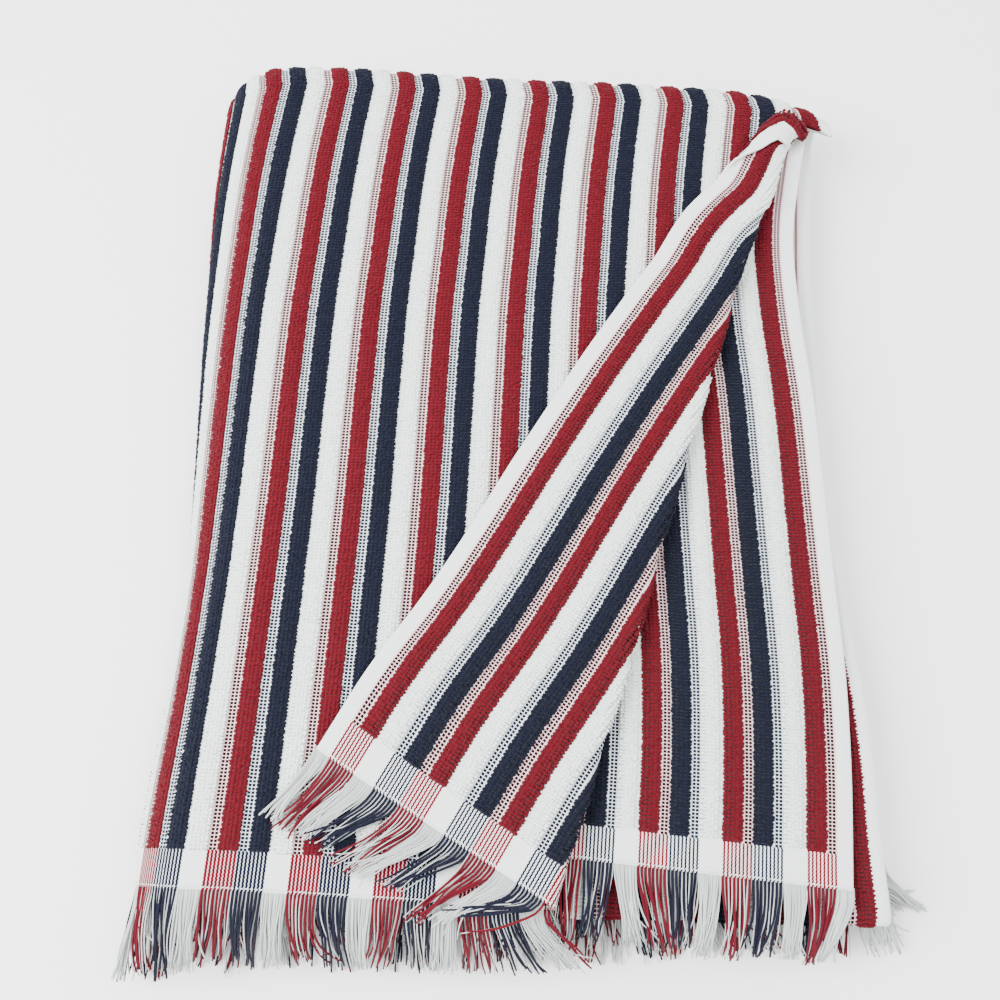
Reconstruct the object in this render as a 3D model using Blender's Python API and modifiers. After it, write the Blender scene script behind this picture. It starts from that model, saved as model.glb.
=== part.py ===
"""Striped terry beach towel, folded in eight layers with one corner turned back, and fringed at both ends.

Metres, +Z up. The package lies on z = 0 with its fringed end towards -Y and its top fold towards +Y. The cloth
is cut out flat in its own (u, v): u runs across the weft from the left selvedge, v along the warp from the front
header. fold() carries a flat point to its place in the folded package.
"""

import math

import bmesh
import bpy
import numpy as np
from mathutils import Vector

# Weave, across the width
COLUMN = 0.0019                     # one warp column
SELVEDGE = 4                        # columns of plain edge
LEAD_WHITE = 6                      # white columns inside the left selvedge
REPEAT = 22                         # columns in one red, navy and white repeat
REPEATS = 17
CLOSING_RED = 8                     # the last red stripe, at the right selvedge
COLUMNS = 2 * SELVEDGE + LEAD_WHITE + REPEAT * REPEATS + CLOSING_RED
WIDTH = COLUMNS * COLUMN
LAST_RED = WIDTH - (SELVEDGE + 2.5) * COLUMN     # middle of the last red pile stripe
HEADER = 0.0185                     # flat woven header at the front end
UNDER_HEADER = 0.0165               # and at the other end
HEADER_STEP = (-0.001, 0.002)       # rows where the pile rises, from the header's end

# Thickness
PILE = 0.0040                       # cloth over a pile stripe, loops of both faces
GROUND = 0.0018                     # cloth over a net stripe, a header or a selvedge
HIDDEN = 0.0032                     # an inner layer, with its pile pressed down
PITCH = 0.0060                      # from layer to layer
LAYERS = 8
FLOOR_LAYER = HIDDEN / 2            # middle of the lowest layer
MIDDLE = FLOOR_LAYER + (LAYERS - 1) / 2 * PITCH  # height of the lengthwise fold's middle

# Lengthwise run of the folded package (y)
FRONT_EDGE = -0.2035                # header end of the top panel
UNDER_EDGE = -0.195                 # header end of the second panel
TOP_BEND = 0.271                    # where the panels start round the top fold
LOW_BEND = -0.206                   # where panels two and three start round the bottom fold
OUTER_REACH = 0.016                 # how far the outer top fold bulges
INNER_REACH = 0.006
BOTTOM_REACH = 0.005
FRONT_SLANT, FRONT_SLANT_FROM = 0.030, -0.130       # slope of the top panel's end, and the x where it starts
UNDER_SLANT, UNDER_SLANT_FROM = 0.085, 0.165        # the same of the second panel's end, up to the left
UNDER_SLANT_WIDTH = 0.120                           # how far left that slope goes on
SLANT_START, SLANT_LENGTH = 0.050, 0.200            # the slants grow from this y towards the front
# x, and how much nearer the front the top fold lies there
TOP_DROP = [(-0.190, 0.004), (-0.150, 0.001), (-0.110, 0.000), (-0.055, 0.003), (0.000, 0.006), (0.055, 0.007),
            (0.100, 0.009), (0.150, 0.013), (0.170, 0.018), (0.185, 0.025), (0.200, 0.031), (0.220, 0.034)]
DROP_START, DROP_LENGTH = 0.120, 0.150              # the drop grows from this y towards the top fold

# Where the middle of the last red stripe runs on each panel: y and x, from the top fold down
GUIDE_1 = [(0.271, 0.186), (0.222, 0.1805), (0.188, 0.1778), (0.155, 0.1759), (0.123, 0.1739),
           (0.060, 0.1720), (0.000, 0.1707), (-0.060, 0.1685), (-0.120, 0.1662), (-0.206, 0.1625)]
GUIDE_4 = [(0.271, 0.178), (0.164, 0.1726), (0.100, 0.1705), (0.000, 0.1720), (-0.100, 0.1805), (-0.206, 0.1866)]
GUIDE_3 = [(0.271, 0.172), (0.200, 0.1620), (0.100, 0.1605), (0.000, 0.1675), (-0.047, 0.1746), (-0.096, 0.1820),
           (-0.130, 0.1845), (-0.170, 0.1850), (-0.206, 0.1866)]
GUIDE_2 = [(0.271, 0.172), (0.245, 0.1675), (0.222, 0.1642), (0.195, 0.1608), (0.171, 0.1592), (0.124, 0.1602),
           (0.066, 0.1650), (0.012, 0.1672), (-0.039, 0.1692), (-0.087, 0.1712), (-0.133, 0.1706), (-0.195, 0.1670)]

# The left, lengthwise fold: y, its outermost x, and how far the upper layers slope down to it
LEFT_FOLD = [(0.287, -0.183, 0.040), (0.207, -0.1845, 0.046), (0.123, -0.1815, 0.050), (0.008, -0.1755, 0.050),
             (-0.044, -0.1735, 0.048), (-0.094, -0.1755, 0.044), (-0.172, -0.1810, 0.034), (-0.260, -0.1820, 0.030)]
# The left selvedge, back under the stack: y and x of the lowest layer
HIDDEN_SELVEDGE = [(0.287, 0.172), (0.100, 0.177), (0.000, 0.181), (-0.100, 0.195), (-0.150, 0.2025),
                   (-0.206, 0.2085), (-0.260, 0.2110)]
HIDDEN_STEP = 0.006                 # how far inside it the left selvedge of the innermost layer ends
UNDER_SKEW = 0.019                  # how far back the lowest layer's end lies at its selvedge
NEST = 0.024                        # innermost fold loop, inside the outermost
INNER_FOLD = 0.3265                 # innermost loop, from the last red stripe, and its slope's length
INNER_SLOPE = 0.022
INNER_LINE_END, INNER_LINE_FADE = 0.250, 0.100      # y from which inner loops keep to one line of the weave
LOOP_COLUMN, LOOP_WIDTH = 0.400, 0.045              # the cloth of the inner loops, which is pressed thinner
EQUATOR_DROP = 0.0125               # outermost loop's widest height, below the middle
TIP_REACH = (0.005, 0.010)          # under side of the loop, innermost and outermost
UPPER_POWER, TIP_POWER = 1.75, 2.0  # roundness of the loop's two quarters

# The turned-back corner: y, and x of its crease on the top panel
CREASE = [(-0.270, 0.0095), (-0.206, 0.0285), (-0.150, 0.0450), (-0.100, 0.0610), (0.000, 0.0900), (0.060, 0.1075),
          (0.100, 0.1198), (0.129, 0.1288), (0.161, 0.1380), (0.198, 0.1515), (0.220, 0.1585), (0.240, 0.1655),
          (0.254, 0.1730), (0.264, 0.1825), (0.271, 0.1930), (0.300, 0.2400)]
ROLL = 0.0033                       # radius of the crease
ROLL_STEPS = 5
ROLL_STRETCH = 1.04                 # the roll's width across the weft, of its width across the crease
LAST_CREASE_ROW = TOP_BEND          # last row that the lines beside the crease reach

# Fringe
LOCKS = 80                          # locks at each end
LOCK_SHARE = 0.72                   # of the pitch that a lock fills at its root
LOCK_LENGTH = 0.0435
UNDER_LOCK_LENGTH = 0.040
LOCK_TAPER = (0.95, 0.82, 0.55)     # width at the end of each of its lengths, of the width at its root
LOCK_THICK = (0.0026, 0.0026, 0.0018)
PART_GAP = 0.0003                   # from the cloth's edge to the root strip
STRIP = 0.0040                      # root strip, along the warp
LOCK_STEPS = 24
STEEPEST = math.radians(50)         # how far a lock hangs over at its tip
HANG_FROM_Y = FRONT_EDGE - 0.002    # where the upper locks start to hang over, how soon they are steepest
HANG_OVER = 0.024
HANG_FROM_FOLD = 0.060              # and how far inside the lengthwise fold
TURNED_LOCK_DROP = 0.0012           # from the turned-back corner towards the panel below it
# How the locks lean from the warp's line: u and degrees towards the right selvedge
LEAN_FRONT = [(0.00, -50), (0.03, -22), (0.10, -6), (0.30, 0), (0.37, -4), (0.42, -2), (0.50, 2), (0.56, 4),
              (0.60, 26), (0.625, 30), (0.66, 27), (0.71, 23), (0.752, 27)]
LEAN_UNDER = [(0.00, -6), (0.10, 2), (0.30, 0), (0.42, 2), (0.60, -2), (0.70, 1), (0.752, 20)]

# Rows and columns that shape the folds: y of the rows on the two panels that show, and u of the columns
TOP_ROWS = (-0.120, -0.040, 0.040, 0.115, 0.165, 0.205, 0.235, 0.255)
UNDER_ROWS = (0.185, 0.100, 0.020, -0.060, -0.120)
HIDDEN_ROW_PITCH, HIDDEN_ROWS = 0.060, 7
FLAT_COLUMNS = (0.270, 0.315, 0.345, 0.500, 0.620)
BEND_COLUMNS, BEND_PITCH, BENDS = 0.350, 0.011, 10
TIGHT_COLUMNS = (0.3995, 0.4105, 0.4215)            # more of them in the innermost loops
CORNER_COLUMNS = (0.665, 0.690, 0.710, 0.724, 0.738)        # on the hidden layers, where the top fold's end slopes
SHAPED_TOP, SHAPED_UNDER = 0.368, 0.610             # left end of the shaped pile on the top and second panels
TURN_STEPS, SMALL_TURN_STEPS = 6, 4
TURN_MARGIN = 0.004                                 # the pile is pressed flat from this far before a hidden turn
CUT_REACH = 0.030                                   # how far beside the crease its lines are looked for

MATERIALS = {"towel_cloth": (0.83, 0.86, 0.84),
             "fringe_front": (0.72, 0.70, 0.72),
             "fringe_under": (0.72, 0.70, 0.72)}


def smooth_table(table, column=1):
    """A function that runs smoothly through a table's (key, value) rows."""
    rows = sorted(table)
    keys = np.array([row[0] for row in rows])
    values = np.array([row[column] for row in rows])
    slopes = np.gradient(values, keys)

    def at(key):
        key = np.clip(key, keys[0], keys[-1])
        i = np.clip(np.searchsorted(keys, key) - 1, 0, len(keys) - 2)
        span = keys[i + 1] - keys[i]
        t = (key - keys[i]) / span
        return ((2 * t**3 - 3 * t**2 + 1) * values[i] + (t**3 - 2 * t**2 + t) * span * slopes[i]
                + (3 * t**2 - 2 * t**3) * values[i + 1] + (t**3 - t**2) * span * slopes[i + 1])
    return at


def half_bell(t):
    """Smooth rise from 0 to 1 as t goes from 0 to 1."""
    t = np.clip(t, 0, 1)
    return t * t * (3 - 2 * t)


def half_round(reach, height, power=2.0, steps=64):
    """Arc length table of a quarter curve from its flat side to its widest point: (length, out, along)."""
    angle = np.linspace(0, math.pi / 2, steps)
    out = reach * np.sin(angle) ** (2 / power)
    along = height * (1 - np.cos(angle) ** (2 / power))
    length = np.concatenate([[0], np.cumsum(np.hypot(np.diff(out), np.diff(along)))])
    return length, out, along


class Bend:
    """A turn of the cloth's length from one height to another, as half an ellipse."""

    def __init__(self, reach, low, high):
        self.length, self.out, self.along = half_round(reach, (high - low) / 2)
        self.total = 2 * self.length[-1]
        self.low, self.high = low, high

    def at(self, s):
        """How far out and how high a point s along the turn lies, counted from its upper end."""
        first = np.minimum(s, self.total - s)
        out = np.interp(first, self.length, self.out)
        fall = np.interp(first, self.length, self.along)
        return out, np.where(s < self.total / 2, self.high - fall, self.low + fall)


# Heights of the four panels above the middle, top panel first, and the turns between them
HEIGHTS = [(3.5 - k) * PITCH for k in range(4)]
OUTER_TURN = Bend(OUTER_REACH, HEIGHTS[3], HEIGHTS[0])
BOTTOM_TURN = Bend(BOTTOM_REACH, HEIGHTS[3], HEIGHTS[2])
INNER_TURN = Bend(INNER_REACH, HEIGHTS[2], HEIGHTS[1])
# Flat places of the seams between panels and turns, along v
V_OUTER = TOP_BEND - FRONT_EDGE
V_BACK = V_OUTER + OUTER_TURN.total
V_BOTTOM = V_BACK + TOP_BEND - LOW_BEND
V_THIRD = V_BOTTOM + BOTTOM_TURN.total
V_INNER = V_THIRD + TOP_BEND - LOW_BEND
V_SECOND = V_INNER + INNER_TURN.total
LENGTH = V_SECOND + TOP_BEND - UNDER_EDGE

guide_1, guide_2, guide_3, guide_4 = (smooth_table(t) for t in (GUIDE_1, GUIDE_2, GUIDE_3, GUIDE_4))
left_edge, left_slope = smooth_table(LEFT_FOLD, 1), smooth_table(LEFT_FOLD, 2)
hidden_selvedge = smooth_table(HIDDEN_SELVEDGE)
crease_x = smooth_table(CREASE)
top_drop = smooth_table(TOP_DROP)


def along_length(v):
    """Where the cloth's length takes a point: y, height above the middle, and x of the last red stripe."""
    out_1, high_1 = OUTER_TURN.at(np.clip(v - V_OUTER, 0, OUTER_TURN.total))
    out_2, low_2 = BOTTOM_TURN.at(BOTTOM_TURN.total - np.clip(v - V_BOTTOM, 0, BOTTOM_TURN.total))
    out_3, high_3 = INNER_TURN.at(INNER_TURN.total - np.clip(v - V_INNER, 0, INNER_TURN.total))
    turn_1 = np.clip((v - V_OUTER) / OUTER_TURN.total, 0, 1)
    turn_2 = np.clip((v - V_BOTTOM) / BOTTOM_TURN.total, 0, 1)
    y_1, y_4 = FRONT_EDGE + v, TOP_BEND - (v - V_BACK)
    y_3, y_2 = LOW_BEND + (v - V_THIRD), TOP_BEND - (v - V_SECOND)
    where = [v < V_OUTER, v < V_BACK, v < V_BOTTOM, v < V_THIRD, v < V_INNER, v < V_SECOND]
    y = np.select(where, [y_1, TOP_BEND + out_1, y_4, LOW_BEND - out_2, y_3, TOP_BEND + out_3], y_2)
    high = np.select(where, [HEIGHTS[0] + 0 * v, high_1, HEIGHTS[3] + 0 * v, low_2, HEIGHTS[2] + 0 * v, high_3],
                     HEIGHTS[1])
    top = (1 - turn_1) * guide_1(TOP_BEND) + turn_1 * guide_4(TOP_BEND)
    low = (1 - turn_2) * guide_4(LOW_BEND) + turn_2 * guide_3(LOW_BEND)
    x = np.select(where, [guide_1(y_1), top, guide_4(y_4), low, guide_3(y_3), guide_2(TOP_BEND) + 0 * v],
                  guide_2(y_2))
    return y, high, x


def left_fold(x, y, high, last_red):
    """Carry a layer round the lengthwise fold: x is its flat place, high its height above the middle."""
    share = (high - HEIGHTS[3]) / (HEIGHTS[0] - HEIGHTS[3])     # 0 on the innermost loop, 1 on the outermost
    along_stripe = (1 - share) ** 3 * half_bell((INNER_LINE_END - y) / INNER_LINE_FADE)
    widest = left_edge(y) + NEST * (1 - share)
    widest += along_stripe * (last_red - INNER_FOLD - widest)
    start = left_edge(y) + left_slope(y)
    start += along_stripe * (last_red - INNER_FOLD + INNER_SLOPE - start)
    level = -EQUATOR_DROP * share
    upper_reach, upper_fall = start - widest, high - level
    tip_reach = TIP_REACH[0] + (TIP_REACH[1] - TIP_REACH[0]) * share
    tip_fall = level + high
    angle = np.linspace(0, math.pi / 2, 40)
    out_u = np.sin(angle) ** (2 / UPPER_POWER) * upper_reach[:, None]
    fall_u = (1 - np.cos(angle) ** (2 / UPPER_POWER)) * upper_fall[:, None]
    out_t = np.cos(angle) ** (2 / TIP_POWER) * tip_reach[:, None]
    fall_t = np.sin(angle) ** (2 / TIP_POWER) * tip_fall[:, None]
    path_x = np.concatenate([start[:, None] - out_u, (widest + tip_reach)[:, None] - out_t], axis=1)
    path_z = np.concatenate([high[:, None] - fall_u, level[:, None] - fall_t], axis=1)
    steps = np.hypot(np.diff(path_x, axis=1), np.diff(path_z, axis=1))
    length = np.concatenate([np.zeros((len(x), 1)), np.cumsum(steps, axis=1)], axis=1)
    gone = start - x                                             # cloth used since the bend's start
    i = np.clip((length < gone[:, None]).sum(axis=1) - 1, 0, length.shape[1] - 2)
    rows = np.arange(len(x))
    part = np.clip((gone - length[rows, i]) / np.maximum(length[rows, i + 1] - length[rows, i], 1e-9), 0, 1)
    bend_x = path_x[rows, i] + part * (path_x[rows, i + 1] - path_x[rows, i])
    bend_z = path_z[rows, i] + part * (path_z[rows, i + 1] - path_z[rows, i])
    # under the stack: evenly on to the left selvedge's place
    total = length[:, -1]
    reach = LAST_RED - (last_red - start) - total                # cloth left from the loop's end to the selvedge
    target = hidden_selvedge(y) - HIDDEN_STEP * (1 - share)
    under_start = widest + tip_reach
    under_x = under_start + (gone - total) / reach * (target - under_start)
    new_x = np.where(gone <= 0, x, np.where(gone < total, bend_x, under_x))
    new_z = np.where(gone <= 0, high, np.where(gone < total, bend_z, -high))
    return new_x, new_z, np.clip((gone - total) / reach, 0, 1)


def crease_foot(x, y):
    """Signed distance of a flat point past the crease, and the crease's normal, at the nearest point of it."""
    foot_y = y
    for _ in range(6):
        slope = (crease_x(foot_y + 0.002) - crease_x(foot_y - 0.002)) / 0.004
        norm = np.sqrt(1 + slope**2)
        past = ((x - crease_x(foot_y)) - slope * (y - foot_y)) / norm
        foot_y = np.clip(y + 0.6 * (past * slope / norm) + 0.4 * (foot_y - y), CREASE[0][0], CREASE[-1][0])
    return past, 1 / norm, -slope / norm


def turn_back(x, y):
    """Roll what lies past the crease up and over to the left: new x, new y and rise."""
    past, nx, ny = crease_foot(x, y)
    arc = math.pi * ROLL
    angle = np.clip(past / ROLL, 0, math.pi)
    shift = np.where(past <= 0, past, np.where(past < arc, ROLL * np.sin(angle), -(past - arc)))
    rise = np.where(past <= 0, 0, np.where(past < arc, ROLL * (1 - np.cos(angle)), 2 * ROLL))
    return x + (shift - past) * nx, y + (shift - past) * ny, rise


def fold(u, v):
    """Places in the folded package of flat points (u, v)."""
    u, v = np.asarray(u, float), np.asarray(v, float)
    y, high, last_red = along_length(v)
    flat_x = last_red + (u - LAST_RED)
    x, z, under = left_fold(flat_x, y, high, last_red)
    near_front = half_bell((SLANT_START - y) / SLANT_LENGTH)
    skew = UNDER_SKEW * under * half_bell(-y / SLANT_LENGTH)
    slant = FRONT_SLANT * np.clip(flat_x - FRONT_SLANT_FROM, 0, None) * near_front
    under_slant = UNDER_SLANT * np.clip(UNDER_SLANT_FROM - flat_x, None, UNDER_SLANT_WIDTH) * near_front
    y = y + np.where(v < V_OUTER, skew - slant, np.where(v > V_SECOND, under_slant, 0))
    on_top = (v < V_OUTER) & (flat_x > 0)
    turned_x, turned_y, rise = turn_back(flat_x, y)
    x, y, z = np.where(on_top, turned_x, x), np.where(on_top, turned_y, y), np.where(on_top, z + rise, z)
    y = y - top_drop(x) * half_bell((y - DROP_START) / DROP_LENGTH)
    return np.stack([x, y, z + MIDDLE], axis=-1)


def pile_columns():
    """(u, raised) of the columns that shape the pile stripes: a low one in each net, two high ones on each pile."""
    marks = [(1.5, 0), (3.6, 1), (7.4, 1), (9.5, 0), (11.6, 1), (15.4, 1), (16.75, 0), (18.1, 1), (21.4, 1)]
    first = SELVEDGE + LEAD_WHITE
    columns = [((first + REPEAT * i + at) * COLUMN, raised) for i in range(REPEATS) for at, raised in marks]
    close = first + REPEAT * REPEATS
    return columns + [((close + at) * COLUMN, raised) for at, raised in marks[:3] + [(8.6, 0)]]


def cut(bm, point, normal, keep):
    """Cut the flat cloth along a line, only in the faces whose middle passes keep(u, v)."""
    faces = [f for f in bm.faces if keep(*f.calc_center_median()[:2])]
    edges = {e for f in faces for e in f.edges}
    verts = {w for f in faces for w in f.verts}
    bmesh.ops.bisect_plane(bm, geom=[*faces, *edges, *verts], dist=2e-5, plane_co=Vector((*point, 0)),
                           plane_no=Vector((*normal, 0)))


def row_stations():
    """v of the rows across the whole cloth."""
    header_rows = [FRONT_EDGE + HEADER + step for step in HEADER_STEP]
    rows = [y - FRONT_EDGE for y in [*header_rows, *TOP_ROWS, TOP_BEND]]
    rows += [V_OUTER + OUTER_TURN.total * k / TURN_STEPS for k in range(1, TURN_STEPS + 1)]
    rows += [V_BACK + k * HIDDEN_ROW_PITCH for k in range(1, HIDDEN_ROWS + 1)] + [V_BOTTOM]
    rows += [V_BOTTOM + BOTTOM_TURN.total * k / SMALL_TURN_STEPS for k in range(1, SMALL_TURN_STEPS + 1)]
    rows += [V_THIRD + k * HIDDEN_ROW_PITCH for k in range(1, HIDDEN_ROWS + 1)] + [V_INNER]
    rows += [V_INNER + INNER_TURN.total * k / SMALL_TURN_STEPS for k in range(1, SMALL_TURN_STEPS + 1)]
    under = [*UNDER_ROWS, *(UNDER_EDGE + UNDER_HEADER + step for step in reversed(HEADER_STEP))]
    return rows + [V_SECOND + TOP_BEND - y for y in under]


def flat_cloth():
    """The flat cloth, cut where it will bend and where its pile rises."""
    bm = bmesh.new()
    bmesh.ops.create_grid(bm, x_segments=1, y_segments=1, size=0.5)
    for w in bm.verts:
        w.co = Vector(((w.co.x + 0.5) * WIDTH, (w.co.y + 0.5) * LENGTH, 0))
    rows = row_stations()
    for v in rows:
        cut(bm, (0, v), (0, 1), lambda a, b: True)
    # columns of the lengthwise fold, on every layer, and the edge of each selvedge
    for u in [*FLAT_COLUMNS, *(BEND_COLUMNS + BEND_PITCH * k for k in range(BENDS))]:
        on_top, on_under = u < SHAPED_TOP, u < SHAPED_UNDER
        cut(bm, (u, 0), (1, 0), lambda a, b: on_top or (V_BACK < b and (b < V_SECOND or on_under)))
    for u in TIGHT_COLUMNS:
        cut(bm, (u, 0), (1, 0), lambda a, b: V_BACK < b < V_INNER)
    for u in CORNER_COLUMNS:
        cut(bm, (u, 0), (1, 0), lambda a, b: V_BACK < b < V_SECOND)
    for u, _ in pile_columns():
        if u > SHAPED_TOP:
            cut(bm, (u, 0), (1, 0), lambda a, b: b < V_BACK)
        if u > SHAPED_UNDER:
            cut(bm, (u, 0), (1, 0), lambda a, b: b > V_SECOND)
    # lines beside the crease, each straight from one row to the next
    stations = [0.0] + [v for v in rows if v <= LAST_CREASE_ROW - FRONT_EDGE + 1e-6]
    for low, high in zip(stations, stations[1:]):
        ends = []
        for v in (low, high):
            y, slanted = np.array([v + FRONT_EDGE]), 0
            for _ in range(3):                               # the slanted row meets the crease a little lower
                crease = crease_x(y - slanted)
                slanted = FRONT_SLANT * (crease - FRONT_SLANT_FROM) * half_bell((SLANT_START - y) / SLANT_LENGTH)
            slope = (crease_x(y - slanted + 0.002) - crease_x(y - slanted - 0.002)) / 0.004
            offsets = np.linspace(0, math.pi * ROLL, ROLL_STEPS + 1) * np.sqrt(1 + slope**2)
            ends.append(crease + offsets - guide_1(y) + LAST_RED)
        for a, b in zip(*ends):
            normal = (high - low, a - b)
            near = (min(a, b) - CUT_REACH, max(a, b) + CUT_REACH)
            cut(bm, (a, low), normal, lambda u, v: low < v < high and near[0] < u < near[1])
    bmesh.ops.remove_doubles(bm, verts=bm.verts, dist=5e-5)
    return bm


def pile_height(u, v):
    """Share of the full thickness at a flat point: ground, hidden or pile."""
    low, inner = GROUND / PILE, HIDDEN / PILE
    marks = sorted([(0.0, 0), *pile_columns(), (WIDTH, 0)])
    raised = np.interp(u, [m[0] for m in marks], [m[1] for m in marks])
    shaped = (((v < V_BACK - TURN_MARGIN) & (u > SHAPED_TOP))
              | ((v > V_SECOND + TURN_MARGIN) & (u > SHAPED_UNDER)))
    loop = (v > V_OUTER) & (v < V_SECOND) & (np.abs(u - LOOP_COLUMN) < LOOP_WIDTH)
    inner = np.where(loop, low, inner)
    body = np.where(shaped, low + (1 - low) * raised, inner)
    flat = (v < HEADER) | (LENGTH - v < UNDER_HEADER) | (u < 1e-6) | (u > WIDTH - 1e-6)
    return np.where(flat, np.where(shaped, low, inner), body)


def new_object(name, bm, collection):
    mesh = bpy.data.meshes.new(name)
    bm.to_mesh(mesh)
    bm.free()
    obj = bpy.data.objects.new(name, mesh)
    collection.objects.link(obj)
    material = bpy.data.materials.new(name)
    material.use_nodes = True
    shader = material.node_tree.nodes["Principled BSDF"]
    shader.inputs["Base Color"].default_value = (*MATERIALS[name], 1)
    shader.inputs["Roughness"].default_value = 0.95
    shader.inputs["Metallic"].default_value = 0.0
    mesh.materials.append(material)
    return obj


def make_cloth(collection):
    bm = flat_cloth()
    bm.verts.ensure_lookup_table()
    flat = np.array([w.co for w in bm.verts])
    places = fold(flat[:, 0], flat[:, 1])
    for w, p in zip(bm.verts, places):
        w.co = p
    obj = new_object("towel_cloth", bm, collection)
    thick = obj.vertex_groups.new(name="thickness")
    for i, share in enumerate(pile_height(flat[:, 0], flat[:, 1])):
        thick.add([i], float(share), "REPLACE")
    solid = obj.modifiers.new("thickness", "SOLIDIFY")
    solid.thickness = PILE
    solid.offset = 0
    solid.vertex_group = "thickness"
    solid.use_even_offset = False
    return obj


def frames(u, v):
    """Places of flat points with the directions across and along the cloth there, and its normal."""
    step = 2e-4
    place = fold(u, v)
    across = fold(u + step, v) - fold(u - step, v)
    along = fold(u, v + step) - fold(u, v - step)
    across /= np.linalg.norm(across, axis=-1, keepdims=True)
    along /= np.linalg.norm(along, axis=-1, keepdims=True)
    normal = np.cross(across, along)
    return place, across, along, normal / np.linalg.norm(normal, axis=-1, keepdims=True)


def lock_path(root, out, lean, length, turned):
    """Points and directions down a lock from its root: it leaves along out, turned by lean, and droops."""
    heading = np.array([out[0], out[1], 0.0])
    heading /= np.linalg.norm(heading)
    c, s = math.cos(lean), math.sin(lean)
    heading = np.array([c * heading[0] - s * heading[1], s * heading[0] + c * heading[1], 0.0])
    # Over the front edge the upper layers' locks hang down, less and less towards the lengthwise fold
    inside = np.clip((root[0] - left_edge(root[1])) / HANG_FROM_FOLD, 0, 1) if root[2] > MIDDLE else 0.0
    point, points, ways = root.copy(), [], []
    for _ in range(LOCK_STEPS + 1):
        beyond = max(0.0, HANG_FROM_Y - point[1]) / HANG_OVER
        fall = math.tan(STEEPEST * inside * min(1.0, beyond) ** 0.8)
        angle = math.atan(fall * abs(heading[1]))
        way = heading * math.cos(angle) - np.array([0, 0, math.sin(angle)])
        points.append(point.copy())
        ways.append(way)
        point = point + way * length / LOCK_STEPS
    points, ways = np.array(points), np.array(ways)
    if turned:
        points[:, 2] -= TURNED_LOCK_DROP * half_bell(np.linspace(0, 1, LOCK_STEPS + 1) / 0.3)
    return points, ways


def make_fringe(name, end, lean_table, collection):
    """The root strip along one end of the cloth, with its locks drawn out of it."""
    front = end == 0
    sign = -1 if front else 1
    pitch = WIDTH / LOCKS
    middles = [(i + 0.5) * pitch for i in range(LOCKS)]
    edge_y = np.array([FRONT_EDGE])
    slanted = FRONT_SLANT * (crease_x(edge_y) - FRONT_SLANT_FROM)
    crease_u = float((crease_x(edge_y - slanted) - guide_1(edge_y))[0]) + LAST_RED
    roll = np.linspace(0, math.pi * ROLL, ROLL_STEPS + 1) * ROLL_STRETCH + crease_u
    if front:
        middles = [m for m in middles if m + pitch / 2 < roll[0] or m - pitch / 2 > roll[-1]]
    edges = sorted(m + side * LOCK_SHARE * pitch / 2 for m in middles for side in (-1, 1))
    bm = bmesh.new()
    bmesh.ops.create_cube(bm, size=1)
    for w in bm.verts:
        w.co = Vector(((w.co.x + 0.5) * WIDTH, -PART_GAP - (0.5 - w.co.y) * STRIP, w.co.z * GROUND))
    for u in edges + (list(roll) if front else []):
        bmesh.ops.bisect_plane(bm, geom=[*bm.verts, *bm.edges, *bm.faces], dist=1e-6,
                               plane_co=Vector((u, 0, 0)), plane_no=Vector((1, 0, 0)))
    far = -PART_GAP - STRIP
    lean = smooth_table(lean_table)
    random = np.random.default_rng(7 if front else 11)
    placed = {}                                                  # lock points already carried to their place
    for m in middles:
        face = next(f for f in bm.faces if abs(f.calc_center_median().x - m) < 1e-4
                    and abs(f.calc_center_median().y - far) < 1e-6)
        root, across, along, normal = (a[0] for a in frames(np.array([m]), np.array([end + sign * (-far)])))
        turned = front and m > roll[-1]
        length = (LOCK_LENGTH if front else UNDER_LOCK_LENGTH) * random.uniform(0.92, 1.06)
        swing = math.radians(float(lean(m)) + random.uniform(-2.5, 2.5))
        turn = swing if normal[2] > 0 or abs(normal[2]) < 0.2 else -swing
        points, ways = lock_path(root, sign * along, turn, length, turned)
        for step, (taper, thick) in enumerate(zip(LOCK_TAPER, LOCK_THICK), 1):
            made = bmesh.ops.extrude_discrete_faces(bm, faces=[face])
            face = made["faces"][0]
            k = step * LOCK_STEPS // len(LOCK_TAPER)
            side = across - across.dot(ways[k]) * ways[k]
            side /= np.linalg.norm(side)
            up = normal - normal.dot(ways[k]) * ways[k]
            up /= np.linalg.norm(up)
            middle = sum((w.co for w in face.verts), Vector()) / 4
            for w in face.verts:
                half_wide = math.copysign(LOCK_SHARE * pitch / 2 * taper, w.co.x - middle.x)
                half_thick = math.copysign(thick / 2, w.co.z)
                w.co = Vector((middle.x + half_wide, middle.y, half_thick))
                placed[w] = points[k] + side * half_wide + up * half_thick
    strip = [w for w in bm.verts if w not in placed]
    flat = np.array([w.co for w in strip])
    place, _, _, normal = frames(flat[:, 0], end - sign * flat[:, 1])
    for w, p in zip(strip, place + normal * flat[:, 2:3]):
        w.co = p
    for w, p in placed.items():
        w.co = p
    if not front:                                                # its strip was carried over mirrored
        bmesh.ops.reverse_faces(bm, faces=bm.faces)
    return new_object(name, bm, collection)


def stand_on_origin(objects):
    """Move the pieces together, so that the middle of their outline lies over the origin."""
    graph = bpy.context.evaluated_depsgraph_get()
    corners = np.array([corner[:] for obj in objects for corner in obj.evaluated_get(graph).bound_box])
    middle = (corners.min(axis=0) + corners.max(axis=0)) / 2
    for obj in objects:
        obj.location = (-middle[0], -middle[1], 0)


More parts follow.
